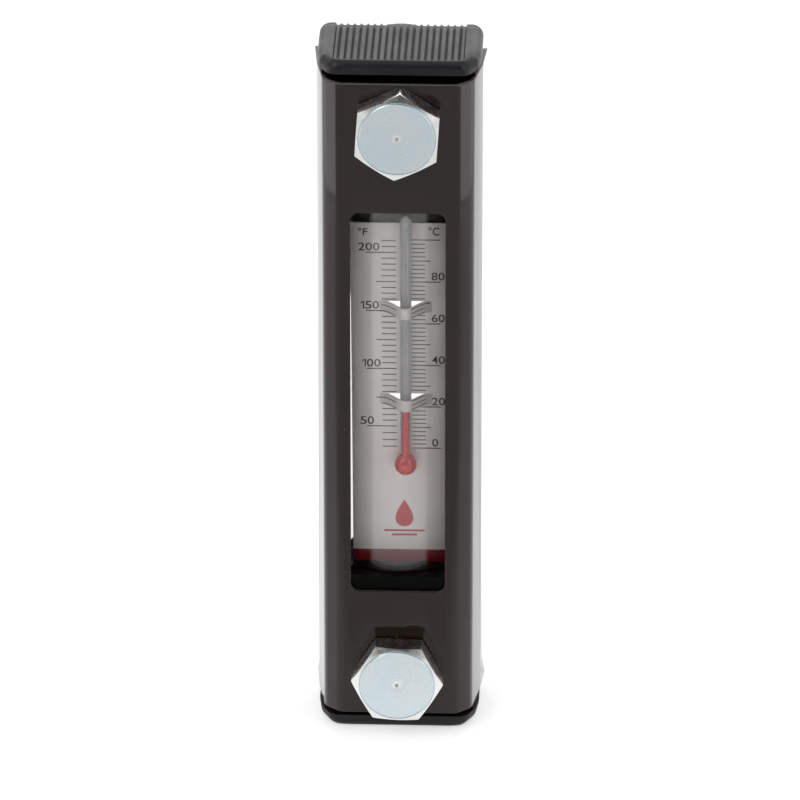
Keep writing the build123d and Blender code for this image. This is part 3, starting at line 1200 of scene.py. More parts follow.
        face = channel_low[1] + self.sheet
        right = [
            (self.block_bend[0] / 2, rear), (self.block_bend[0] / 2, face + self.block_bend[1]),
            (self.block_shoulder[0] / 2, face + self.block_shoulder[1]), (self.block_front[0] / 2, face),
        ]
        outline = mirrored(right)
        mouth = self.bolt_level - self.block_reach
        neck_start = levels("housing_channel")[1][2] - self.neck_inside
        body = self.flipped(prism(outline, mouth, neck_start)).object(self.end.word + "_cap_body")
        half = self.neck_width / 2
        neck = [(half, rear), (half, face + self.neck_front), (-half, face + self.neck_front), (-half, rear)]
        bridge = prism(neck, neck_start - self.overlap, inner + self.plate_overlap)
        combine(body, [self.flipped(bridge)], "UNION")
        wide = self.block_bend[0] / 2
        hub = rear + self.crown_rise - self.crown_radius
        swing = math.asin((wide - self.crown_inset) / self.crown_radius)
        crown = [
            (self.crown_radius * math.sin(a), hub + self.crown_radius * math.cos(a))
            for a in [swing * (1 - i / 12) for i in range(25)]
        ]
        crown += [(-wide + self.crown_inset, rear - 2), (wide - self.crown_inset, rear - 2)]
        combine(body, [self.flipped(prism(crown, mouth, self.bolt_level))], "UNION")
        boss = turned(
            [(self.boss_radius, rear - 1), (self.boss_radius, boss_face)],
            centre=self.end.value * self.bolt_level,
        )
        combine(body, [boss], "UNION")
        split = levels("red_band")[0][1]
        cradle = [p for p in outline if p[1] < split]
        cradle = [(self.block_bend[0] / 2, split)] + cradle + [(-self.block_bend[0] / 2, split)]
        reach = self.bolt_level - self.cradle_reach
        combine(body, [self.flipped(prism(cradle, reach, mouth + 1))], "UNION")
        tube_end = self.bolt_level - self.socket_reach
        socket = prism(tube.oval(self.tube_gap), 0, tube_end)
        seat = turned(
            [(self.ring_seat, face - 1), (self.ring_seat, face + self.ring_depth)],
            centre=self.end.value * self.bolt_level,
        )
        combine(body, [self.flipped(socket), seat], "DIFFERENCE")
        soften(body, self.edge)
        bench.place(body, Slot.MOULDING, MouldedNylon(), [node])
        # A darker, less shiny copy of the nylon for the faces that look forward or toward the middle of the
        # gauge: painted shade, as these faces lie behind the sheet.
        body.data.materials.append(bench.finish(MouldedNylon("#050404", "#080707", shine=0.06)))
        for area in body.data.polygons:
            if area.normal.y < -0.9 or area.normal.z * self.end.value < -0.9:
                area.material_index = 1

        whole = tube.oval(-tube.wall - self.tube_gap)
        jaw = self.flipped(prism(whole, reach, tube_end + self.overlap)).object(self.end.word + "_cap_jaw")
        cut = split - self.jaw_relief
        back = [(-20, cut), (20, cut), (20, split + 30), (-20, split + 30)]
        combine(jaw, [self.flipped(prism(back, 0, 80))], "DIFFERENCE")
        soften(jaw, self.jaw_edge, 35.0, 4)
        bench.place(jaw, Slot.MOULDING, MouldedNylon(), [node])

        plate_rear = split + self.plate_gap
        half = self.tongue_width / 2
        tongue = [
            (-half, plate_rear), (half, plate_rear), (half, plate_rear + self.tongue_thick),
            (-half, plate_rear + self.tongue_thick),
        ]
        reach = self.bolt_level - self.tongue_reach
        flat = self.flipped(prism(tongue, reach, tube_end + 0.5)).object(self.end.word + "_cap_tongue")
        soften(flat, 0.15)
        bench.place(flat, Slot.MOULDING, MouldedNylon(), [node])


# ---- sight tube -------------------------------------------------------------

@dataclass
class SightTube:
    """Clear oval tube."""

    wall: float = 1.5
    lip: float = 0.25
    segments: int = 160

    def __post_init__(self) -> None:
        """Read the tube's place from the frame."""
        low, high = levels("sight_tube")
        self.half = ((high[0] - low[0]) / 2, (high[1] - low[1]) / 2)
        self.centre = (high[1] + low[1]) / 2
        self.end = high[2]

    def oval(self, grow: float) -> list[Flat]:
        """The tube's outer oval, grown by a distance."""
        out = []
        for i in range(self.segments):
            angle = 2 * math.pi * i / self.segments
            out.append((
                (self.half[0] + grow) * math.cos(angle),
                self.centre + (self.half[1] + grow) * math.sin(angle),
            ))
        return out

    def build(self, bench: Bench) -> None:
        """Draw the tube with rounded lips.

        Args:
            bench: Where the piece goes.
        """
        wall, lip, end = self.wall, self.lip, self.end
        track = [(-wall, -end + lip), (-wall + lip, -end), (-lip, -end), (0.0, -end + lip)]
        track += [(0.0, end - lip), (-lip, end), (-wall + lip, end), (-wall, end - lip)]
        rings = [[(x, y, z) for x, y in self.oval(grow)] for grow, z in track]
        shell = Shell()
        placed = [shell.ring(r) for r in rings]
        for a, b in zip(placed, placed[1:] + placed[:1]):
            shell.span(a, b)
        bench.place(shell.object("clear_sight_tube"), Slot.TUBE, ClearAcrylic(), ["sight_tube"], 40.0)


# ---- scale plate and its print ----------------------------------------------

@dataclass
class ScalePlate:
    """Enamelled plate with two strips pressed forward, and its printing."""

    clip_levels: Flat = (18.75, -2.75)
    clip_height: float = 2.5
    clip_span: float = 10.8
    clip_rise: float = 4.0
    clip_axis: float = 1.4
    clip_slope: float = 1.3
    ink_thick: float = 0.02
    line: float = 0.22
    zero_level: float = -14.27
    lean: float = -0.3          # the plate stands a little askew in its slots
    band_lift: float = 0.3
    head_level: float = 29.0    # above this the plate is a little wider
    head_taper: float = 9.0
    head_grow: float = 0.3
    celsius_width: float = 1.2
    fahrenheit_width: float = 1.32
    one_width: float = 0.8
    figure_gap: float = 0.17
    figure_height: float = 1.8
    figure_foot: float = 0.4
    degree: float = 0.4845
    celsius_left: float = 2.63      # where the lines of the Celsius side start
    celsius_ends: Point = (8.48, 6.38, 5.43)        # and end: at 20, at 10 and at 2 degrees
    celsius_figures: float = 6.7
    celsius_sign: tuple[float, ...] = (6.15, 8.3, 35.2, 37.15)      # left, right, low, high
    fahrenheit_right: float = -0.55
    fahrenheit_ends: Point = (-6.7, -4.6, -3.5)     # at 50, at 25 and at 5 degrees
    fahrenheit_offset: float = 0.3  # the 50 stands so much above its place on the Celsius side
    fahrenheit_stretch: float = 1.18    # the steps below 50 are wider
    fahrenheit_top: float = 34.6    # no line above this level
    fahrenheit_sign: tuple[float, ...] = (-8.25, -6.3, 35.15, 36.85)
    sign_bold: float = 0.03
    drop_height: float = 6.4
    drop_half_width: float = 2.2
    drop_level: float = -29.6
    drop_point: float = 1.3         # above 1 it draws the drop's top to a point
    mark_centre: float = 0.9
    level_bars: tuple[Flat, ...] = ((-34.0, 4.2), (-35.0, 2.6))     # foot and half length
    bar_height: float = 0.45
    lines: int = 0
    printed: Shell = field(default_factory=Shell)

    def __post_init__(self) -> None:
        """Read the plate's place from the frame."""
        low, high = levels("red_band")
        self.front, self.back = low[1], high[1]
        self.half = high[0]
        self.band_top, self.bottom = high[2] + self.band_lift, low[2]
        self.top = levels("scale_plate")[1][2]

    def raised(self, x: float) -> float:
        """Y level of a strip's front at a place across: a smooth hump over the stem."""
        off = min(1.0, abs(x - self.clip_axis) / (self.clip_span / 2))
        return self.front - self.clip_rise * (0.5 + 0.5 * math.cos(math.pi * off)) ** self.clip_slope

    def surface(self, x: float, z: float) -> float:
        """Y level of the printed face at a point."""
        for level in self.clip_levels:
            if abs(z - level) < self.clip_height / 2:
                return self.raised(x)
        return self.front

    def stroke(self, left: float, right: float, z: float) -> None:
        """Print one level line, bent over the strips where it meets them."""
        count = max(2, int((right - left) / 0.3))
        tops, feet = [], []
        for i in range(count + 1):
            x = left + (right - left) * i / count
            y = self.surface(x, z)
            for row, dz in ((tops, self.line / 2), (feet, -self.line / 2)):
                row.append((x, y - self.ink_thick, z + dz))
        shell = Shell().sheet([tops, feet])
        back = Shell().sheet([[(x, y + 1.5 * self.ink_thick, z) for x, y, z in row] for row in (tops, feet)])
        width = count + 1
        shell.add(back)
        edge = list(range(width)) + list(range(2 * width - 1, width - 1, -1))
        other = [i + 2 * width for i in edge]
        shell.span(edge, other)
        self.printed.add(shell)
        self.lines += 1

    def letters(
        self, text: str, left: float, right: float, low: float, high: float, bold: float = 0.0
    ) -> Shell:
        """Set a word or figure into a box on the plate.

        Args:
            text: What is printed.
            left: Left side of the box.
            right: Right side.
            low: Foot of the box.
            high: Top of the box.
            bold: How much the strokes are thickened, in millimetres.

        Returns:
            The letters as thin solids.
        """
        curve = bpy.data.curves.new("type", "FONT")
        curve.body = text
        curve.resolution_u = 6
        curve.offset = bold / max(0.1, high - low) * 0.7
        holder = bpy.data.objects.new("type", curve)
        bpy.context.scene.collection.objects.link(holder)
        bpy.context.view_layer.update()
        mesh = bpy.data.meshes.new_from_object(holder.evaluated_get(bpy.context.evaluated_depsgraph_get()))
        xs = [v.co.x for v in mesh.vertices]
        ys = [v.co.y for v in mesh.vertices]
        wide, tall = max(xs) - min(xs), max(ys) - min(ys)
        shell = Shell()
        places = [
            (left + (v.co.x - min(xs)) / wide * (right - left),
             low + (v.co.y - min(ys)) / tall * (high - low))
            for v in mesh.vertices
        ]
        count = len(places)
        shell.points = [(x, self.front - self.ink_thick, z) for x, z in places]
        shell.points += [(x, self.front + self.ink_thick / 2, z) for x, z in places]
        used: dict[tuple[int, int], int] = {}
        for face in mesh.polygons:
            loop = tuple(face.vertices)
            shell.faces.append(loop)
            shell.faces.append(tuple(i + count for i in reversed(loop)))
            for a, b in zip(loop, loop[1:] + loop[:1]):
                used[(a, b)] = used.get((a, b), 0) + 1
        for a, b in used:
            if (b, a) not in used:
                shell.faces.append((b, a, a + count, b + count))
        bpy.data.objects.remove(holder)
        bpy.data.curves.remove(curve)
        bpy.data.meshes.remove(mesh)
        return shell

    def figure(self, value: int, left: float, z: float, width: float) -> None:
        """Set a figure above its level line.

        Args:
            value: The number.
            left: Left side of its first digit.
            z: Height of the line.
            width: Width of a digit.
        """
        low, high = z + self.figure_foot, z + self.figure_foot + self.figure_height
        for digit in str(value):
            if digit == "1":
                right = left + self.one_width
                flag = [(0.66, 0.0), (1.0, 0.0), (1.0, 1.0), (0.7, 1.0), (0.0, 0.8), (0.0, 0.66), (0.66, 0.8)]
                places = [(left + u * self.one_width, low + v * self.figure_height) for u, v in flag]
                self.printed.add(bar_y(places, self.front - self.ink_thick, self.front + self.ink_thick / 2))
            else:
                right = left + width
                self.printed.add(self.letters(digit, left, right, low, high, 0.02))
            left = right + self.figure_gap

    def celsius(self) -> None:
        """Print the Celsius side: a line every 2 degrees and a figure every 20."""
        for step in range(0, 101, 2):
            z = self.zero_level + self.degree * step
            long, middle, short = self.celsius_ends
            right = long if step % 20 == 0 else middle if step % 10 == 0 else short
            self.stroke(self.celsius_left, right, z)
            if step % 20 == 0 and step < 100:
                self.figure(step, self.celsius_figures, z, self.celsius_width)
        self.printed.add(self.letters("°C", *self.celsius_sign, self.sign_bold))

    def fahrenheit(self) -> None:
        """Print the Fahrenheit side: a line every 5 degrees and a figure every 50."""
        step_height = self.degree * 5 / 9
        fifty = self.zero_level + self.fahrenheit_offset + step_height * 18
        for step in range(35, 216, 5):
            z = fifty + step_height * (step - 50) * (1.0 if step > 50 else self.fahrenheit_stretch)
            if z > self.fahrenheit_top:
                continue
            long, middle, short = self.fahrenheit_ends
            left = long if step % 50 == 0 else middle if step % 25 == 0 else short
            self.stroke(left, self.fahrenheit_right, z)
            if step % 50 == 0:
                start = {50: -8.05, 100: -7.6, 150: -7.85, 200: -8.2}[step]
                self.figure(step, start, z, self.fahrenheit_width)
        self.printed.add(self.letters("°F", *self.fahrenheit_sign, self.sign_bold))

    def drop_mark(self) -> Shell:
        """A plain oil drop over two level lines, in the free space under the bulb."""
        centre = self.mark_centre
        outline = []
        for i in range(48):
            turn = 2 * math.pi * i / 48
            lift = math.cos(turn)
            outline.append((
                centre + self.drop_half_width * math.sin(turn) * math.sin(turn / 2) ** self.drop_point * 1.15,
                self.drop_level + self.drop_height / 2 * lift,
            ))
        shell = bar_y(outline, self.front - self.ink_thick, self.front + self.ink_thick / 2)
        for row, reach in self.level_bars:
            top = row + self.bar_height
            bar = [(centre - reach, row), (centre + reach, row), (centre + reach, top), (centre - reach, top)]
            shell.add(bar_y(bar, self.front - self.ink_thick, self.front + self.ink_thick / 2))
        return shell

    def settle(self, obj: bpy.types.Object) -> bpy.types.Object:
        """Lean a piece with the plate."""
        obj.data.transform(Matrix.Rotation(math.radians(self.lean), 4, "Y"))
        return obj

    def build(self, bench: Bench) -> None:
        """Press and enamel the plate, then print it.

        Args:
            bench: Where the pieces go.
        """
        half, front, back = self.half, self.front, self.back
        broad = half + self.head_grow
        flat = bar_y(mirrored([
            (half, self.band_top), (half, self.head_level - self.head_taper),
            (broad, self.head_level), (broad, self.top),
        ]), front, back).object("enamelled_scale_plate")
        left, right = self.clip_axis - self.clip_span / 2, self.clip_axis + self.clip_span / 2
        cuts = []
        for level in self.clip_levels:
            low, high = level - self.clip_height / 2, level + self.clip_height / 2
            cuts.append(bar_y([(left, low), (right, low), (right, high), (left, high)], front - 1, back + 1))
        combine(flat, cuts, "DIFFERENCE")
        soften(flat, 0.08)
        enamel = EnamelledPlate("aluminium_white_enamel", "#f3f1f0", "#ebe8e7")
        bench.place(self.settle(flat), Slot.SCALE, enamel, ["scale_plate"])
        thick = back - front
        for name, level in zip(("upper", "lower"), self.clip_levels):
            rows = []
            for i in range(41):
                share = i / 40
                x = left + (right - left) * share
                y = self.raised(x)
                slope = (self.raised(x + 0.01) - self.raised(x - 0.01)) / 0.02
                low, high = level - self.clip_height / 2, level + self.clip_height / 2
                bx, by = x - slope * thick / math.hypot(1, slope), y + thick / math.hypot(1, slope)
                rows.append([(x, y, low), (x, y, high), (bx, by, high), (bx, by, low)])
            strip = Shell().loft(rows).object(name + "_thermometer_clip")
            soften(strip, 0.06)
            # The strips take a darker copy of the plate's enamel: painted shade on their sideways flanks.
            bent = EnamelledPlate("aluminium_white_enamel_painted_shade", "#d6d3d1", "#cecbc9")
            bench.place(self.settle(strip), Slot.SCALE, bent, ["scale_plate"])
        band = bar_y(
            [(-half, self.bottom), (half, self.bottom), (half, self.band_top), (-half, self.band_top)],
            front, back,
        ).object("red_scale_band")
        soften(band, 0.06)
        red_enamel = EnamelledPlate("aluminium_red_enamel", "#8c1420", "#7c0f1a")
        bench.place(self.settle(band), Slot.BAND, red_enamel, ["red_band"])
        self.celsius()
        self.fahrenheit()
        ink = ScreenInk("screen_ink_charcoal", "#3d383a", "#544e50")
        bench.place(self.settle(self.printed.object("scale_lines_and_figures")), Slot.SCALE, ink)
        red = ScreenInk("screen_ink_red", "#c8444c", "#d2565c")
        bench.place(self.settle(self.drop_mark().object("oil_drop_mark")), Slot.BAND, red)
        log.info("scale printed with %d lines", self.lines)


# ---- thermometer ------------------------------------------------------------

@dataclass
class Glasswork:
    """Thermometer tube with its dyed spirit."""

    bore: float = 0.48
    capillary: float = 0.1
    wall: float = 0.28
    wetting: float = 0.015      # the spirit wets the glass, so it fills the bore past its wall
    stem: float = 1.2
    ball_grow: float = 0.08
    ball_lift: float = 0.75
    opal_under: float = 0.03
    opal_thick: float = 0.06
    opal_sweep: float = 270.0
    segments: int = 64

    def upright(self, profile: Sequence[Flat]) -> Shell:
        """Revolve pairs of radius and height round the thermometer's axis."""
        x, y = self.axis
        rings = []
        for radius, z in profile:
            ring = []
            for i in range(self.segments):
                angle = 2 * math.pi * i / self.segments
                ring.append((x + radius * math.cos(angle), y + radius * math.sin(angle), z))
            rings.append(ring)
        return Shell().loft(rings)

    def flask(self, stem: float, ball: float, centre: float, top: float, domed: bool) -> list[Flat]:
        """Profile of a stem with a ball at its foot.

        Args:
            stem: Radius of the stem.
            ball: Radius of the ball.
            centre: Height of the ball's centre.
            top: Height of the top.
            domed: Whether the top is round.

        Returns:
            Pairs of radius and height from the foot up.
        """
        out = []
        for i in range(17):
            angle = 0.02 + (math.pi / 2 - 0.02) * i / 16
            out.append((ball * math.sin(angle), centre - ball * math.cos(angle)))
        for i in range(1, 29):
            rise = ball * 1.1 * i / 28
            globe = math.sqrt(max(0.0, ball ** 2 - rise ** 2))
            neck = stem * min(1.0, rise / (0.7 * ball))
            out.append(((globe ** 4 + neck ** 4) ** 0.25, centre + rise))
        if not domed:
            return out + [(stem, top - 0.1), (stem - 0.1, top)]
        for i in range(9):
            angle = math.pi / 2 * i / 8 * 0.98
            out.append((stem * math.cos(angle), top - stem + stem * math.sin(angle)))
        return out

    def build(self, bench: Bench) -> None:
        """Blow the glass and fill it.

        Args:
            bench: Where the pieces go.
        """
        low, high = levels("thermometer_glass")
        half = (high[0] - low[0]) / 2
        ball = half + self.ball_grow
        centre = low[2] + half + self.ball_lift
        top = high[2]
        self.axis = ((low[0] + high[0]) / 2, (low[1] + high[1]) / 2)
        glass = self.upright(self.flask(self.stem, ball, centre, top, True))
        column_top = levels("thermometer_liquid")[1][2]
        hollow = self.flask(self.bore, ball - self.wall, centre, column_top + 0.3, False)
        hollow += [(self.capillary, column_top + 0.5), (self.capillary, top - 2.4), (0.02, top - 2.2)]
        glass.add(self.upright(hollow))
        piece = glass.object("thermometer_stem_and_bulb")
        self.turn_bore(piece, len(hollow) * self.segments)
        bench.place(piece, Slot.GLASS, DrawnGlass(), ["thermometer_glass"], 60.0)
        wet = self.flask(self.bore + self.wetting, ball - self.wall + self.wetting, centre, column_top, False)
        bench.place(
            self.upright(wet).object("dyed_spirit_column"), Slot.SPIRIT, DyedSpirit(),
            ["thermometer_liquid"], 60.0,
        )
        opal = EnamelledPlate("glass_opal_white", "#f6f9f9", "#f0f4f4", 0.3)
        back = self.backing(centre + ball + 0.4, top).object("opal_backing")
        bench.place(back, Slot.GLASS, opal, (), 60.0)

    def turn_bore(self, piece: bpy.types.Object, count: int) -> None:
        """Turn the bore's faces towards the hollow, so that the glass lies outside them.

        Args:
            piece: The glass.
            count: How many of its last points belong to the bore.
        """
        work = bmesh.new()
        work.from_mesh(piece.data)
        work.verts.ensure_lookup_table()
        seen = set(v.index for v in work.verts[-count:])
        bore = [f for f in work.faces if f.verts[0].index in seen]
        middle = sum((f.calc_center_median() for f in bore), start=bore[0].normal * 0) / len(bore)
        outward = sum(1 for f in bore if f.normal.xy.dot((f.calc_center_median() - middle).xy) > 0)
        if outward > len(bore) / 2:
            bmesh.ops.reverse_faces(work, faces=bore)
        work.to_mesh(piece.data)
        work.free()

    def backing(self, low: float, top: float) -> Shell:
        """Opal layer fused into the rear of the stem, up into its dome.

        Args:
            low: Height of its foot.
            top: Height of the stem's top.

        Returns:
            The thin curved layer.
        """
        skin = self.stem - self.opal_under
        profile = [(skin, low), (skin, top - self.stem)]
        for i in range(1, 9):
            angle = math.radians(9.5 * i)
            profile.append((skin * math.cos(angle), top - self.stem + skin * math.sin(angle)))
        half = math.radians(self.opal_sweep) / 2
        x, y = self.axis
        rows = []
        for radius, z in profile:
            loop = []
            for layer, order in ((radius, range(33)), (radius - self.opal_thick, range(32, -1, -1))):
                for i in order:
                    angle = math.pi / 2 + half * (i / 16 - 1)
                    loop.append((x + layer * math.cos(angle), y + layer * math.sin(angle), z))
            rows.append(loop)
        return Shell().loft(rows)


# ---- bolts, nuts and seals --------------------------------------------------

def hexagon(flats: float, soft: float, turn: float, per_side: int = 10) -> list[tuple[float, float]]:
    """Outline of a hexagon with soft corners, as angle and radius pairs.

    Args:
        flats: Width across the flats.
        soft: Radius of the corners.
        turn: Angle of its first corner in degrees.
        per_side: Points on each flat.

    Returns:
        Pairs of angle and radius.
    """
    corner = flats / math.sqrt(3)
    points = [
        (corner * math.cos(math.radians(turn + 60 * i)), corner * math.sin(math.radians(turn + 60 * i)))
        for i in range(6)
    ]
    dense: list[Flat] = []
    ring = rounded(points, [soft] * 6, 5)
    for a, b in zip(ring, ring[1:] + ring[:1]):
        steps = per_side if math.dist(a, b) > 1 else 1
        for k in range(steps):
            dense.append((a[0] + (b[0] - a[0]) * k / steps, a[1] + (b[1] - a[1]) * k / steps))
    return [(math.atan2(y, x), math.hypot(x, y)) for x, y in dense]


def hex_rings(
    shape: Sequence[tuple[float, float]], centre: float, start: float, toward: float,
    height: float, face_radius: float, chamfer: float, corner: float, step: float = 0.0,
) -> list[list[Point]]:
    """Rings of a hexagon that is turned down to a round face.

    Args:
        shape: Hexagon as angle and radius pairs.
        centre: Height of its axis.
        start: Y level of its seat.
        toward: 1 or -1, the way it rises along Y.
        height: Height above the seat.
        face_radius: Radius of the round face.
        chamfer: Height that the turning takes from each corner.
        corner: Radius of the corners before turning.
        step: How far the round face stands above the turned cone, past a fine groove as deep.

    Returns:
        Rings from the seat to the face's rim.
    """
    slope = (chamfer - step) / (corner - face_radius)
    cone = height - step

    def at(angle: float, radius: float, rise: float) -> Point:
        """The point at an angle and radius round the axis, so far above the seat."""
        return (radius * math.cos(angle), start + toward * rise, centre + radius * math.sin(angle))

    rings = []
    for rise in (0.0, 0.12):
        rings.append([at(a, r - (0.12 - rise), rise) for a, r in shape])
    for share in (0.5, 0.97):
        rings.append([at(a, r, share * (cone - slope * (r - face_radius))) for a, r in shape])
    for share in (0.03, 0.5, 0.94, 1.0):
        row = []
        for a, r in shape:
            radius = r + (face_radius - r) * share
            row.append(at(a, radius, cone - slope * (radius - face_radius)))
        rings.append(row)
    if step:
        for inside, rise in ((0.08, cone - step), (0.2, cone - step), (0.26, height - 0.04)):
            rings.append([at(a, face_radius - inside, rise) for a, _ in shape])
    rings.append([at(a, face_radius - 0.32, height) for a, _ in shape])
    return rings


@dataclass
class HollowBolt:
    """Hexagon bolt with an oil bore up its stud."""

    end: End
    turn: float
    level: float = 63.5
    head_flats: float = 17.0
    washer: float = 0.5
    washer_radius: float = 8.1
    face_radius: float = 8.1
    chamfer: float = 0.9
    step: float = 0.16
    dimple: float = 0.34
    dimple_ring: float = 0.95
    stud_radius: float = 5.0
    pitch: float = 1.5
    thread_depth: float = 0.92
    cone: float = 3.4
    tip_radius: float = 3.3
    bore: float = 2.3
    thread_start: float = 7.0
    segments: int = 72

    def head(self, sheet: float, front: float) -> Shell:
        """Head with its washer face, turned face and centre mark.

        Args:
            sheet: Y level of the sheet that it sits on.
            front: Y level of its face.

        Returns:
            The closed head.
        """
        centre = self.end.value * self.level
        shape = hexagon(self.head_flats, 0.3, self.turn)
        corner = self.head_flats / math.sqrt(3)
        height = sheet - front - self.washer
        rings = hex_rings(
            shape, centre, sheet - self.washer, -1, height, self.face_radius, self.chamfer, corner, self.step
        )
        seat = []
        for radius, y in ((3.0, sheet), (self.washer_radius - 0.1, sheet), (self.washer_radius, sheet - 0.1),
                          (self.washer_radius, sheet - self.washer)):
            seat.append([(radius * math.cos(a), y, centre + radius * math.sin(a)) for a, _ in shape])
        face = []
        ring, drill = self.dimple_ring, self.dimple
        for radius, dip in ((6.0, 0.0), (4.0, 0.0), (2.0, 0.0), (ring, 0.0), (ring - 0.12, 0.03),
                            (drill + 0.1, 0.03), (drill, 0.08), (drill - 0.04, 1.0), (0.03, 1.1)):
            face.append([
                (radius * math.cos(a), front + dip, centre + radius * math.sin(a)) for a, _ in shape
            ])
        return Shell().loft(seat + rings + face)

    def stud(self, tip: float) -> Shell:
        """Threaded stud with a coned tip and a bore.

        Args:
            tip: Y level of its end.

        Returns:
            The closed stud.
        """
        centre = self.end.value * self.level
        per_turn = 14
        steps = int((tip - self.thread_start) / self.pitch * per_turn)
        rings = []
        for k in range(steps + 1):
            y = self.thread_start + (tip - self.thread_start) * k / steps
            ring = []
            for i in range(self.segments):
                turn = i / self.segments
                phase = (y / self.pitch - turn) % 1
                ridge = min(1.0, max(0.0, (abs(phase - 0.5) * 2 - 0.12) / 0.72))
                radius = self.stud_radius - self.thread_depth * (1 - ridge)
                limit = self.tip_radius + (self.stud_radius - self.tip_radius) * (tip - y) / self.cone
                radius = min(radius, limit)
                angle = 2 * math.pi * turn
                ring.append((radius * math.cos(angle), y, centre + radius * math.sin(angle)))
            rings.append(ring)
        for radius, y in ((self.bore + 0.25, tip), (self.bore, tip - 0.25), (self.bore, tip - 22.0)):
            rings.append([
                (radius * math.cos(2 * math.pi * i / self.segments), y,
                 centre + radius * math.sin(2 * math.pi * i / self.segments))
                for i in range(self.segments)
            ])
        return Shell().loft(rings)

    def build(self, bench: Bench) -> None:
        """Turn the bolt and plate it.

        Args:
            bench: Where the pieces go.
        """
        node = self.end.word + "_hollow_bolt"
        low, high = levels(node)
        sheet = levels("housing_channel")[0][1]
        centre = self.end.value * self.level
        head = self.head(sheet, low[1]).object(self.end.word + "_bolt_head")
        layer = head.data.uv_layers.new(name="turning")
        for loop in head.data.loops:
            spot = head.data.vertices[loop.vertex_index].co
            layer.data[loop.index].uv = (spot.x / MM, spot.z / MM - centre)
        bench.place(head, Slot.ZINC, ZincPlated(ZincFace.TURNED), [node], 22.0)
        stud = self.stud(high[1]).object(self.end.word + "_bolt_stud")
        bench.place(stud, Slot.ZINC, ZincPlated(ZincFace.ROLLED), [node], 28.0)
        shank = round_bar(self.stud_radius, sheet + 1, self.thread_start + 0.2, centre)
        body = shank.object(self.end.word + "_bolt_shank")
        bench.place(body, Slot.ZINC, ZincPlated(ZincFace.ROLLED), [node])


@dataclass
class FlangeNut:
    """Hexagon nut with a coned flange and a recess round its thread."""

    end: End
    turn: float
    level: float = 63.5
    flats: float = 17.0
    rim: float = 1.2
    rise: float = 2.7
    face_radius: float = 7.0
    chamfer: float = 1.6
    trim: float = 0.3
    recess_radius: float = 6.2
    recess_depth: float = 0.6
    thread_radius: float = 4.5

    def build(self, bench: Bench) -> None:
        """Form the nut and plate it.

        Args:
            bench: Where the piece goes.
        """
        node = self.end.word + "_flange_nut"
        low, high = levels(node)
        centre = self.end.value * self.level
        flange = (high[0] - low[0]) / 2
        base, top = low[1], high[1] - self.trim
        shape = hexagon(self.flats, 0.35, -self.turn)
        corner = self.flats / math.sqrt(3)
        rings = hex_rings(
            shape, centre, base, 1, top - base, self.face_radius, self.chamfer, corner
        )
        inside = []
        sink = self.recess_radius - self.thread_radius
        for radius, y in ((self.recess_radius + 0.15, top), (self.recess_radius, top - 0.08),
                          (self.thread_radius + 0.5 * sink, top - self.recess_depth * 0.8),
                          (self.thread_radius, top - self.recess_depth), (self.thread_radius, top - 2.5)):
            inside.append([(radius * math.cos(a), y, centre + radius * math.sin(a)) for a, _ in shape])
        body = Shell().loft(rings + inside)
        skirt = turned([
            (self.thread_radius + 0.6, base), (flange - 0.2, base), (flange, base + 0.2),
            (flange, base + self.rim - 0.25), (flange - 0.25, base + self.rim),
            (self.flats / 2, base + self.rise), (self.thread_radius + 0.6, base + self.rise),
        ], 120, centre)
        body.add(skirt)
        bench.place(body.object(node + "_plated"), Slot.ZINC, ZincPlated(ZincFace.ROLLED), [node], 25.0)


@dataclass
class SealRing:
    """Flat rubber ring against the tank wall."""

    end: End
    level: float = 63.5
    hole: float = 5.3
    soft: float = 0.3

    def build(self, bench: Bench) -> None:
        """Mould the ring with rounded edges.

        Args:
            bench: Where the piece goes.
        """
        node = self.end.word + "_seal_ring"
        low, high = levels(node)
        outer = (high[0] - low[0]) / 2
        base, top = low[1], high[1]
        corners = [(self.hole, base), (outer, base), (outer, top), (self.hole, top)]
        profile = rounded(corners, [self.soft] * 4, 4)
        rings = turned(profile, 96, self.end.value * self.level, filled=False)
        count = 96
        first = list(range(count))
        last = [(len(profile) - 1) * count + i for i in range(count)]
        rings.span(last, first)
        bench.place(rings.object(node + "_moulded"), Slot.RUBBER, NitrileRubber(), [node], 40.0)


# ---- light and camera -------------------------------------------------------

# Name, centre, width and height, brightness of the face.
LAMPS = (
    ("key_softbox", (-620, -700, 760), (600, 600), 2.8),
    ("fill_softbox", (760, -560, 420), (500, 700), 1.6),
    ("back_softbox", (0, 900, 520), (1300, 700), 1.3),
    ("left_card", (-420, -60, -10), (300, 130), 1.5),
    ("right_card", (420, -60, -10), (300, 130), 1.5),
)


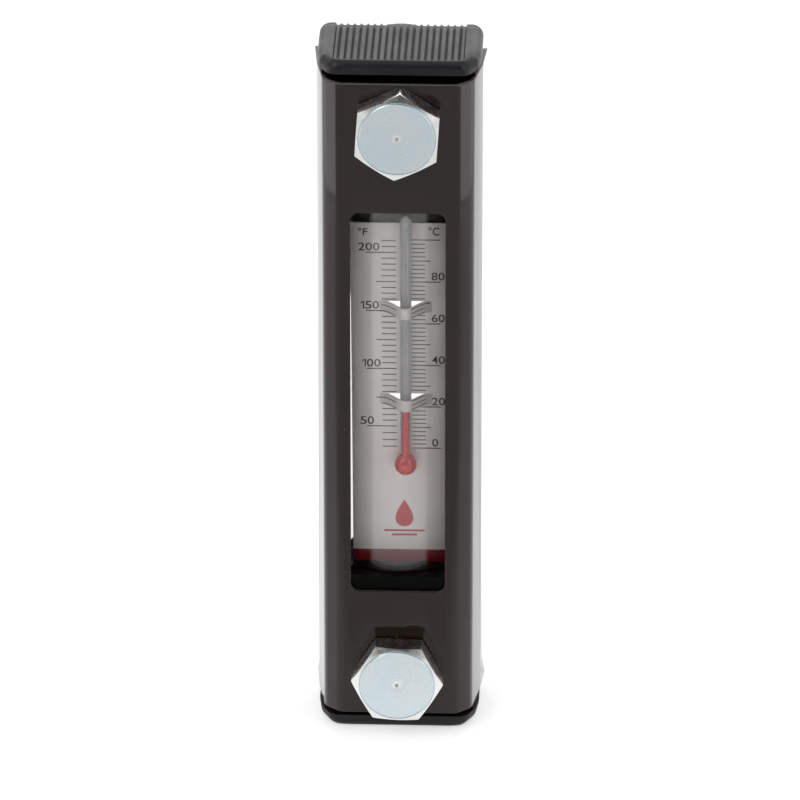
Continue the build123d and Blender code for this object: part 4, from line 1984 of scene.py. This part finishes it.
@dataclass
class Studio:
    """Pale floor, soft lamps and the camera."""

    aim: Point = (0.47, -25.8, 1.12)
    distance: float = 1707.9
    pitch: float = 25.84
    yaw: float = 2.11
    lens: float = 366.3
    ambient: float = 0.6
    dark_room: float = 0.06     # what mirrors see of the dim side, ahead and above
    room_ahead: Flat = (-0.35, -0.75)   # ahead: the dim side grows between these parts of a way's length
    room_above: Flat = (0.02, 0.2)      # and above
    through_glass: float = 2.0  # strength for rays through glass, where 1 would be the plain level
    floor_half: float = 6000.0
    floor_grey: float = 0.72
    floor_seen: float = 0.5     # what the floor adds for the eye
    floor_through_glass: float = 0.55   # and for rays through glass
    floor_reach: float = 300.0  # the stops below run from this far ahead to this far behind
    mirrored_floor: tuple[Stop, ...] = ((0.05, 0.0), (0.333, 0.03), (0.41, 0.33), (0.8, 0.62))

    def world(self) -> None:
        """White surroundings for the eye, the mirrors and the glass, and a soft ambient light."""
        world = bpy.data.worlds.new("studio")
        bpy.context.scene.world = world
        world.use_nodes = True
        tree = world.node_tree
        back = tree.nodes["Background"]
        back.inputs["Color"].default_value = grey(1.0)
        path = add_node(tree, "ShaderNodeLightPath")
        seen = add_node(
            tree, "ShaderNodeMath", {"operation": "MAXIMUM"},
            {0: path.outputs["Is Camera Ray"], 1: path.outputs["Is Glossy Ray"]},
        )
        clear = add_node(
            tree, "ShaderNodeMath", {"operation": "MAXIMUM"},
            {0: seen.outputs[0], 1: path.outputs["Is Transmission Ray"]},
        )
        level = add_node(
            tree, "ShaderNodeMapRange", {"To Min": self.ambient, "To Max": 1.0}, {"Value": clear.outputs[0]}
        )
        place = add_node(tree, "ShaderNodeTexCoord")
        way = add_node(tree, "ShaderNodeSeparateXYZ", links={0: place.outputs["Generated"]})
        ahead, above = (
            add_node(
                tree, "ShaderNodeMapRange",
                {"From Min": start, "From Max": end, "interpolation_type": "SMOOTHSTEP"},
                {"Value": way.outputs[axis]},
            )
            for axis, (start, end) in (("Y", self.room_ahead), ("Z", self.room_above))
        )
        room = add_node(
            tree, "ShaderNodeMath", {"operation": "MULTIPLY"},
            {0: ahead.outputs["Result"], 1: above.outputs["Result"]},
        )
        mirrored_room = add_node(
            tree, "ShaderNodeMath", {"operation": "MULTIPLY"},
            {0: room.outputs[0], 1: path.outputs["Is Glossy Ray"]},
        )
        dimmed = add_node(
            tree, "ShaderNodeMapRange", {"To Min": 1.0, "To Max": self.dark_room},
            {"Value": mirrored_room.outputs[0]},
        )
        lifted = add_node(
            tree, "ShaderNodeMapRange", {"To Min": 1.0, "To Max": self.through_glass},
            {"Value": path.outputs["Is Transmission Ray"]},
        )
        shaded = add_node(
            tree, "ShaderNodeMath", {"operation": "MULTIPLY"},
            {0: level.outputs["Result"], 1: dimmed.outputs["Result"]},
        )
        strength = add_node(
            tree, "ShaderNodeMath", {"operation": "MULTIPLY"},
            {0: shaded.outputs[0], 1: lifted.outputs["Result"]},
        )
        tree.links.new(strength.outputs[0], back.inputs["Strength"])

    def floor(self) -> None:
        """A broad pale floor that keeps the gauge's shadow."""
        level = levels("lower_end_cap")[0][2]
        half, reach = self.floor_half, self.floor_reach
        plane = Shell()
        plane.points = [(x * half, y * half, level) for x, y in ((-1, -1), (1, -1), (1, 1), (-1, 1))]
        plane.faces = [(0, 1, 2, 3)]
        obj = plane.object("studio_floor")
        paper = Surface("paper_white", Base_Color=grey(self.floor_grey), Roughness=0.9)
        path = add_node(paper.tree, "ShaderNodeLightPath")
        along = add_node(paper.tree, "ShaderNodeSeparateXYZ", links={0: paper.where})
        share = add_node(
            paper.tree, "ShaderNodeMapRange", {"From Min": -reach * MM, "From Max": reach * MM},
            {"Value": along.outputs["Y"]},
        )
        mirror = paper.run(
            ("ShaderNodeValToRGB", {"stops": self.mirrored_floor}), source=share.outputs["Result"]
        )
        lift = None
        for ray, source in (
            ("Is Camera Ray", self.floor_seen), ("Is Transmission Ray", self.floor_through_glass),
            ("Is Glossy Ray", mirror),
        ):
            part = add_node(
                paper.tree, "ShaderNodeMath", {"operation": "MULTIPLY"}, {0: path.outputs[ray]}
            )
            if isinstance(source, float):
                part.inputs[1].default_value = source
            else:
                paper.tree.links.new(source, part.inputs[1])
            if lift is not None:
                part = add_node(
                    paper.tree, "ShaderNodeMath", {"operation": "MAXIMUM"}, {0: lift, 1: part.outputs[0]}
                )
            lift = part.outputs[0]
        paper.shader.inputs["Emission Color"].default_value = grey(1.0)
        paper.feed("Emission Strength", lift)
        obj.data.materials.append(paper.material)
        obj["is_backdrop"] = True

    def lamp(self, name: str, place: Point, size: Flat, radiance: float) -> None:
        """Add a soft rectangular lamp that faces the middle of the gauge.

        Args:
            name: Lamp name.
            place: Its centre.
            size: Its width and height.
            radiance: Brightness of its face.
        """
        data = bpy.data.lights.new(name, "AREA")
        data.shape = "RECTANGLE"
        data.size, data.size_y = size[0] * MM, size[1] * MM
        data.energy = radiance * math.pi * data.size * data.size_y
        obj = bpy.data.objects.new(name, data)
        bpy.context.scene.collection.objects.link(obj)
        obj.location = tuple(c * MM for c in place)
        away = obj.location.normalized()
        obj.rotation_euler = away.to_track_quat("Z", "Y").to_euler()
        obj.visible_camera = False

    def camera(self) -> None:
        """Long lens from above the front, a little to the right."""
        data = bpy.data.cameras.new("camera")
        data.lens = self.lens
        data.sensor_width = 36.0
        data.clip_end = 20.0
        obj = bpy.data.objects.new("camera", data)
        bpy.context.scene.collection.objects.link(obj)
        pitch, yaw = math.radians(self.pitch), math.radians(self.yaw)
        ahead = (-math.sin(yaw) * math.cos(pitch), math.cos(yaw) * math.cos(pitch), -math.sin(pitch))
        obj.location = tuple((a - d * self.distance) * MM for a, d in zip(self.aim, ahead))
        obj.rotation_euler = (math.pi / 2 - pitch, 0.0, yaw)
        bpy.context.scene.camera = obj

    def build(self) -> None:
        """Set up the whole studio."""
        self.world()
        self.floor()
        for name, place, size, radiance in LAMPS:
            self.lamp(name, place, size, radiance)
        self.camera()
        bpy.context.scene.view_settings.view_transform = "Standard"


def main() -> None:
    """Build every piece of the gauge in order and set the studio round it."""
    logging.basicConfig(level=logging.INFO, format="%(name)s %(message)s")
    bench = Bench()
    Housing().build(bench)
    tube = SightTube()
    tube.build(bench)
    EndCap(End.UPPER, cradle_reach=19.9).build(bench, tube)
    EndCap(End.LOWER, cradle_reach=22.45).build(bench, tube)
    ScalePlate().build(bench)
    Glasswork().build(bench)
    for end, head_turn, nut_turn in ((End.UPPER, 26.3, 3.0), (End.LOWER, 58.1, 13.0)):
        HollowBolt(end, head_turn).build(bench)
        FlangeNut(end, nut_turn).build(bench)
        SealRing(end).build(bench)
        bench.dress(end.word + "_tube_ring", NitrileRubber())
        bench.dress(end.word + "_front_ring", NitrileRubber())
    Studio().build()
    bench.close()


if __name__ == "__main__":
    main()
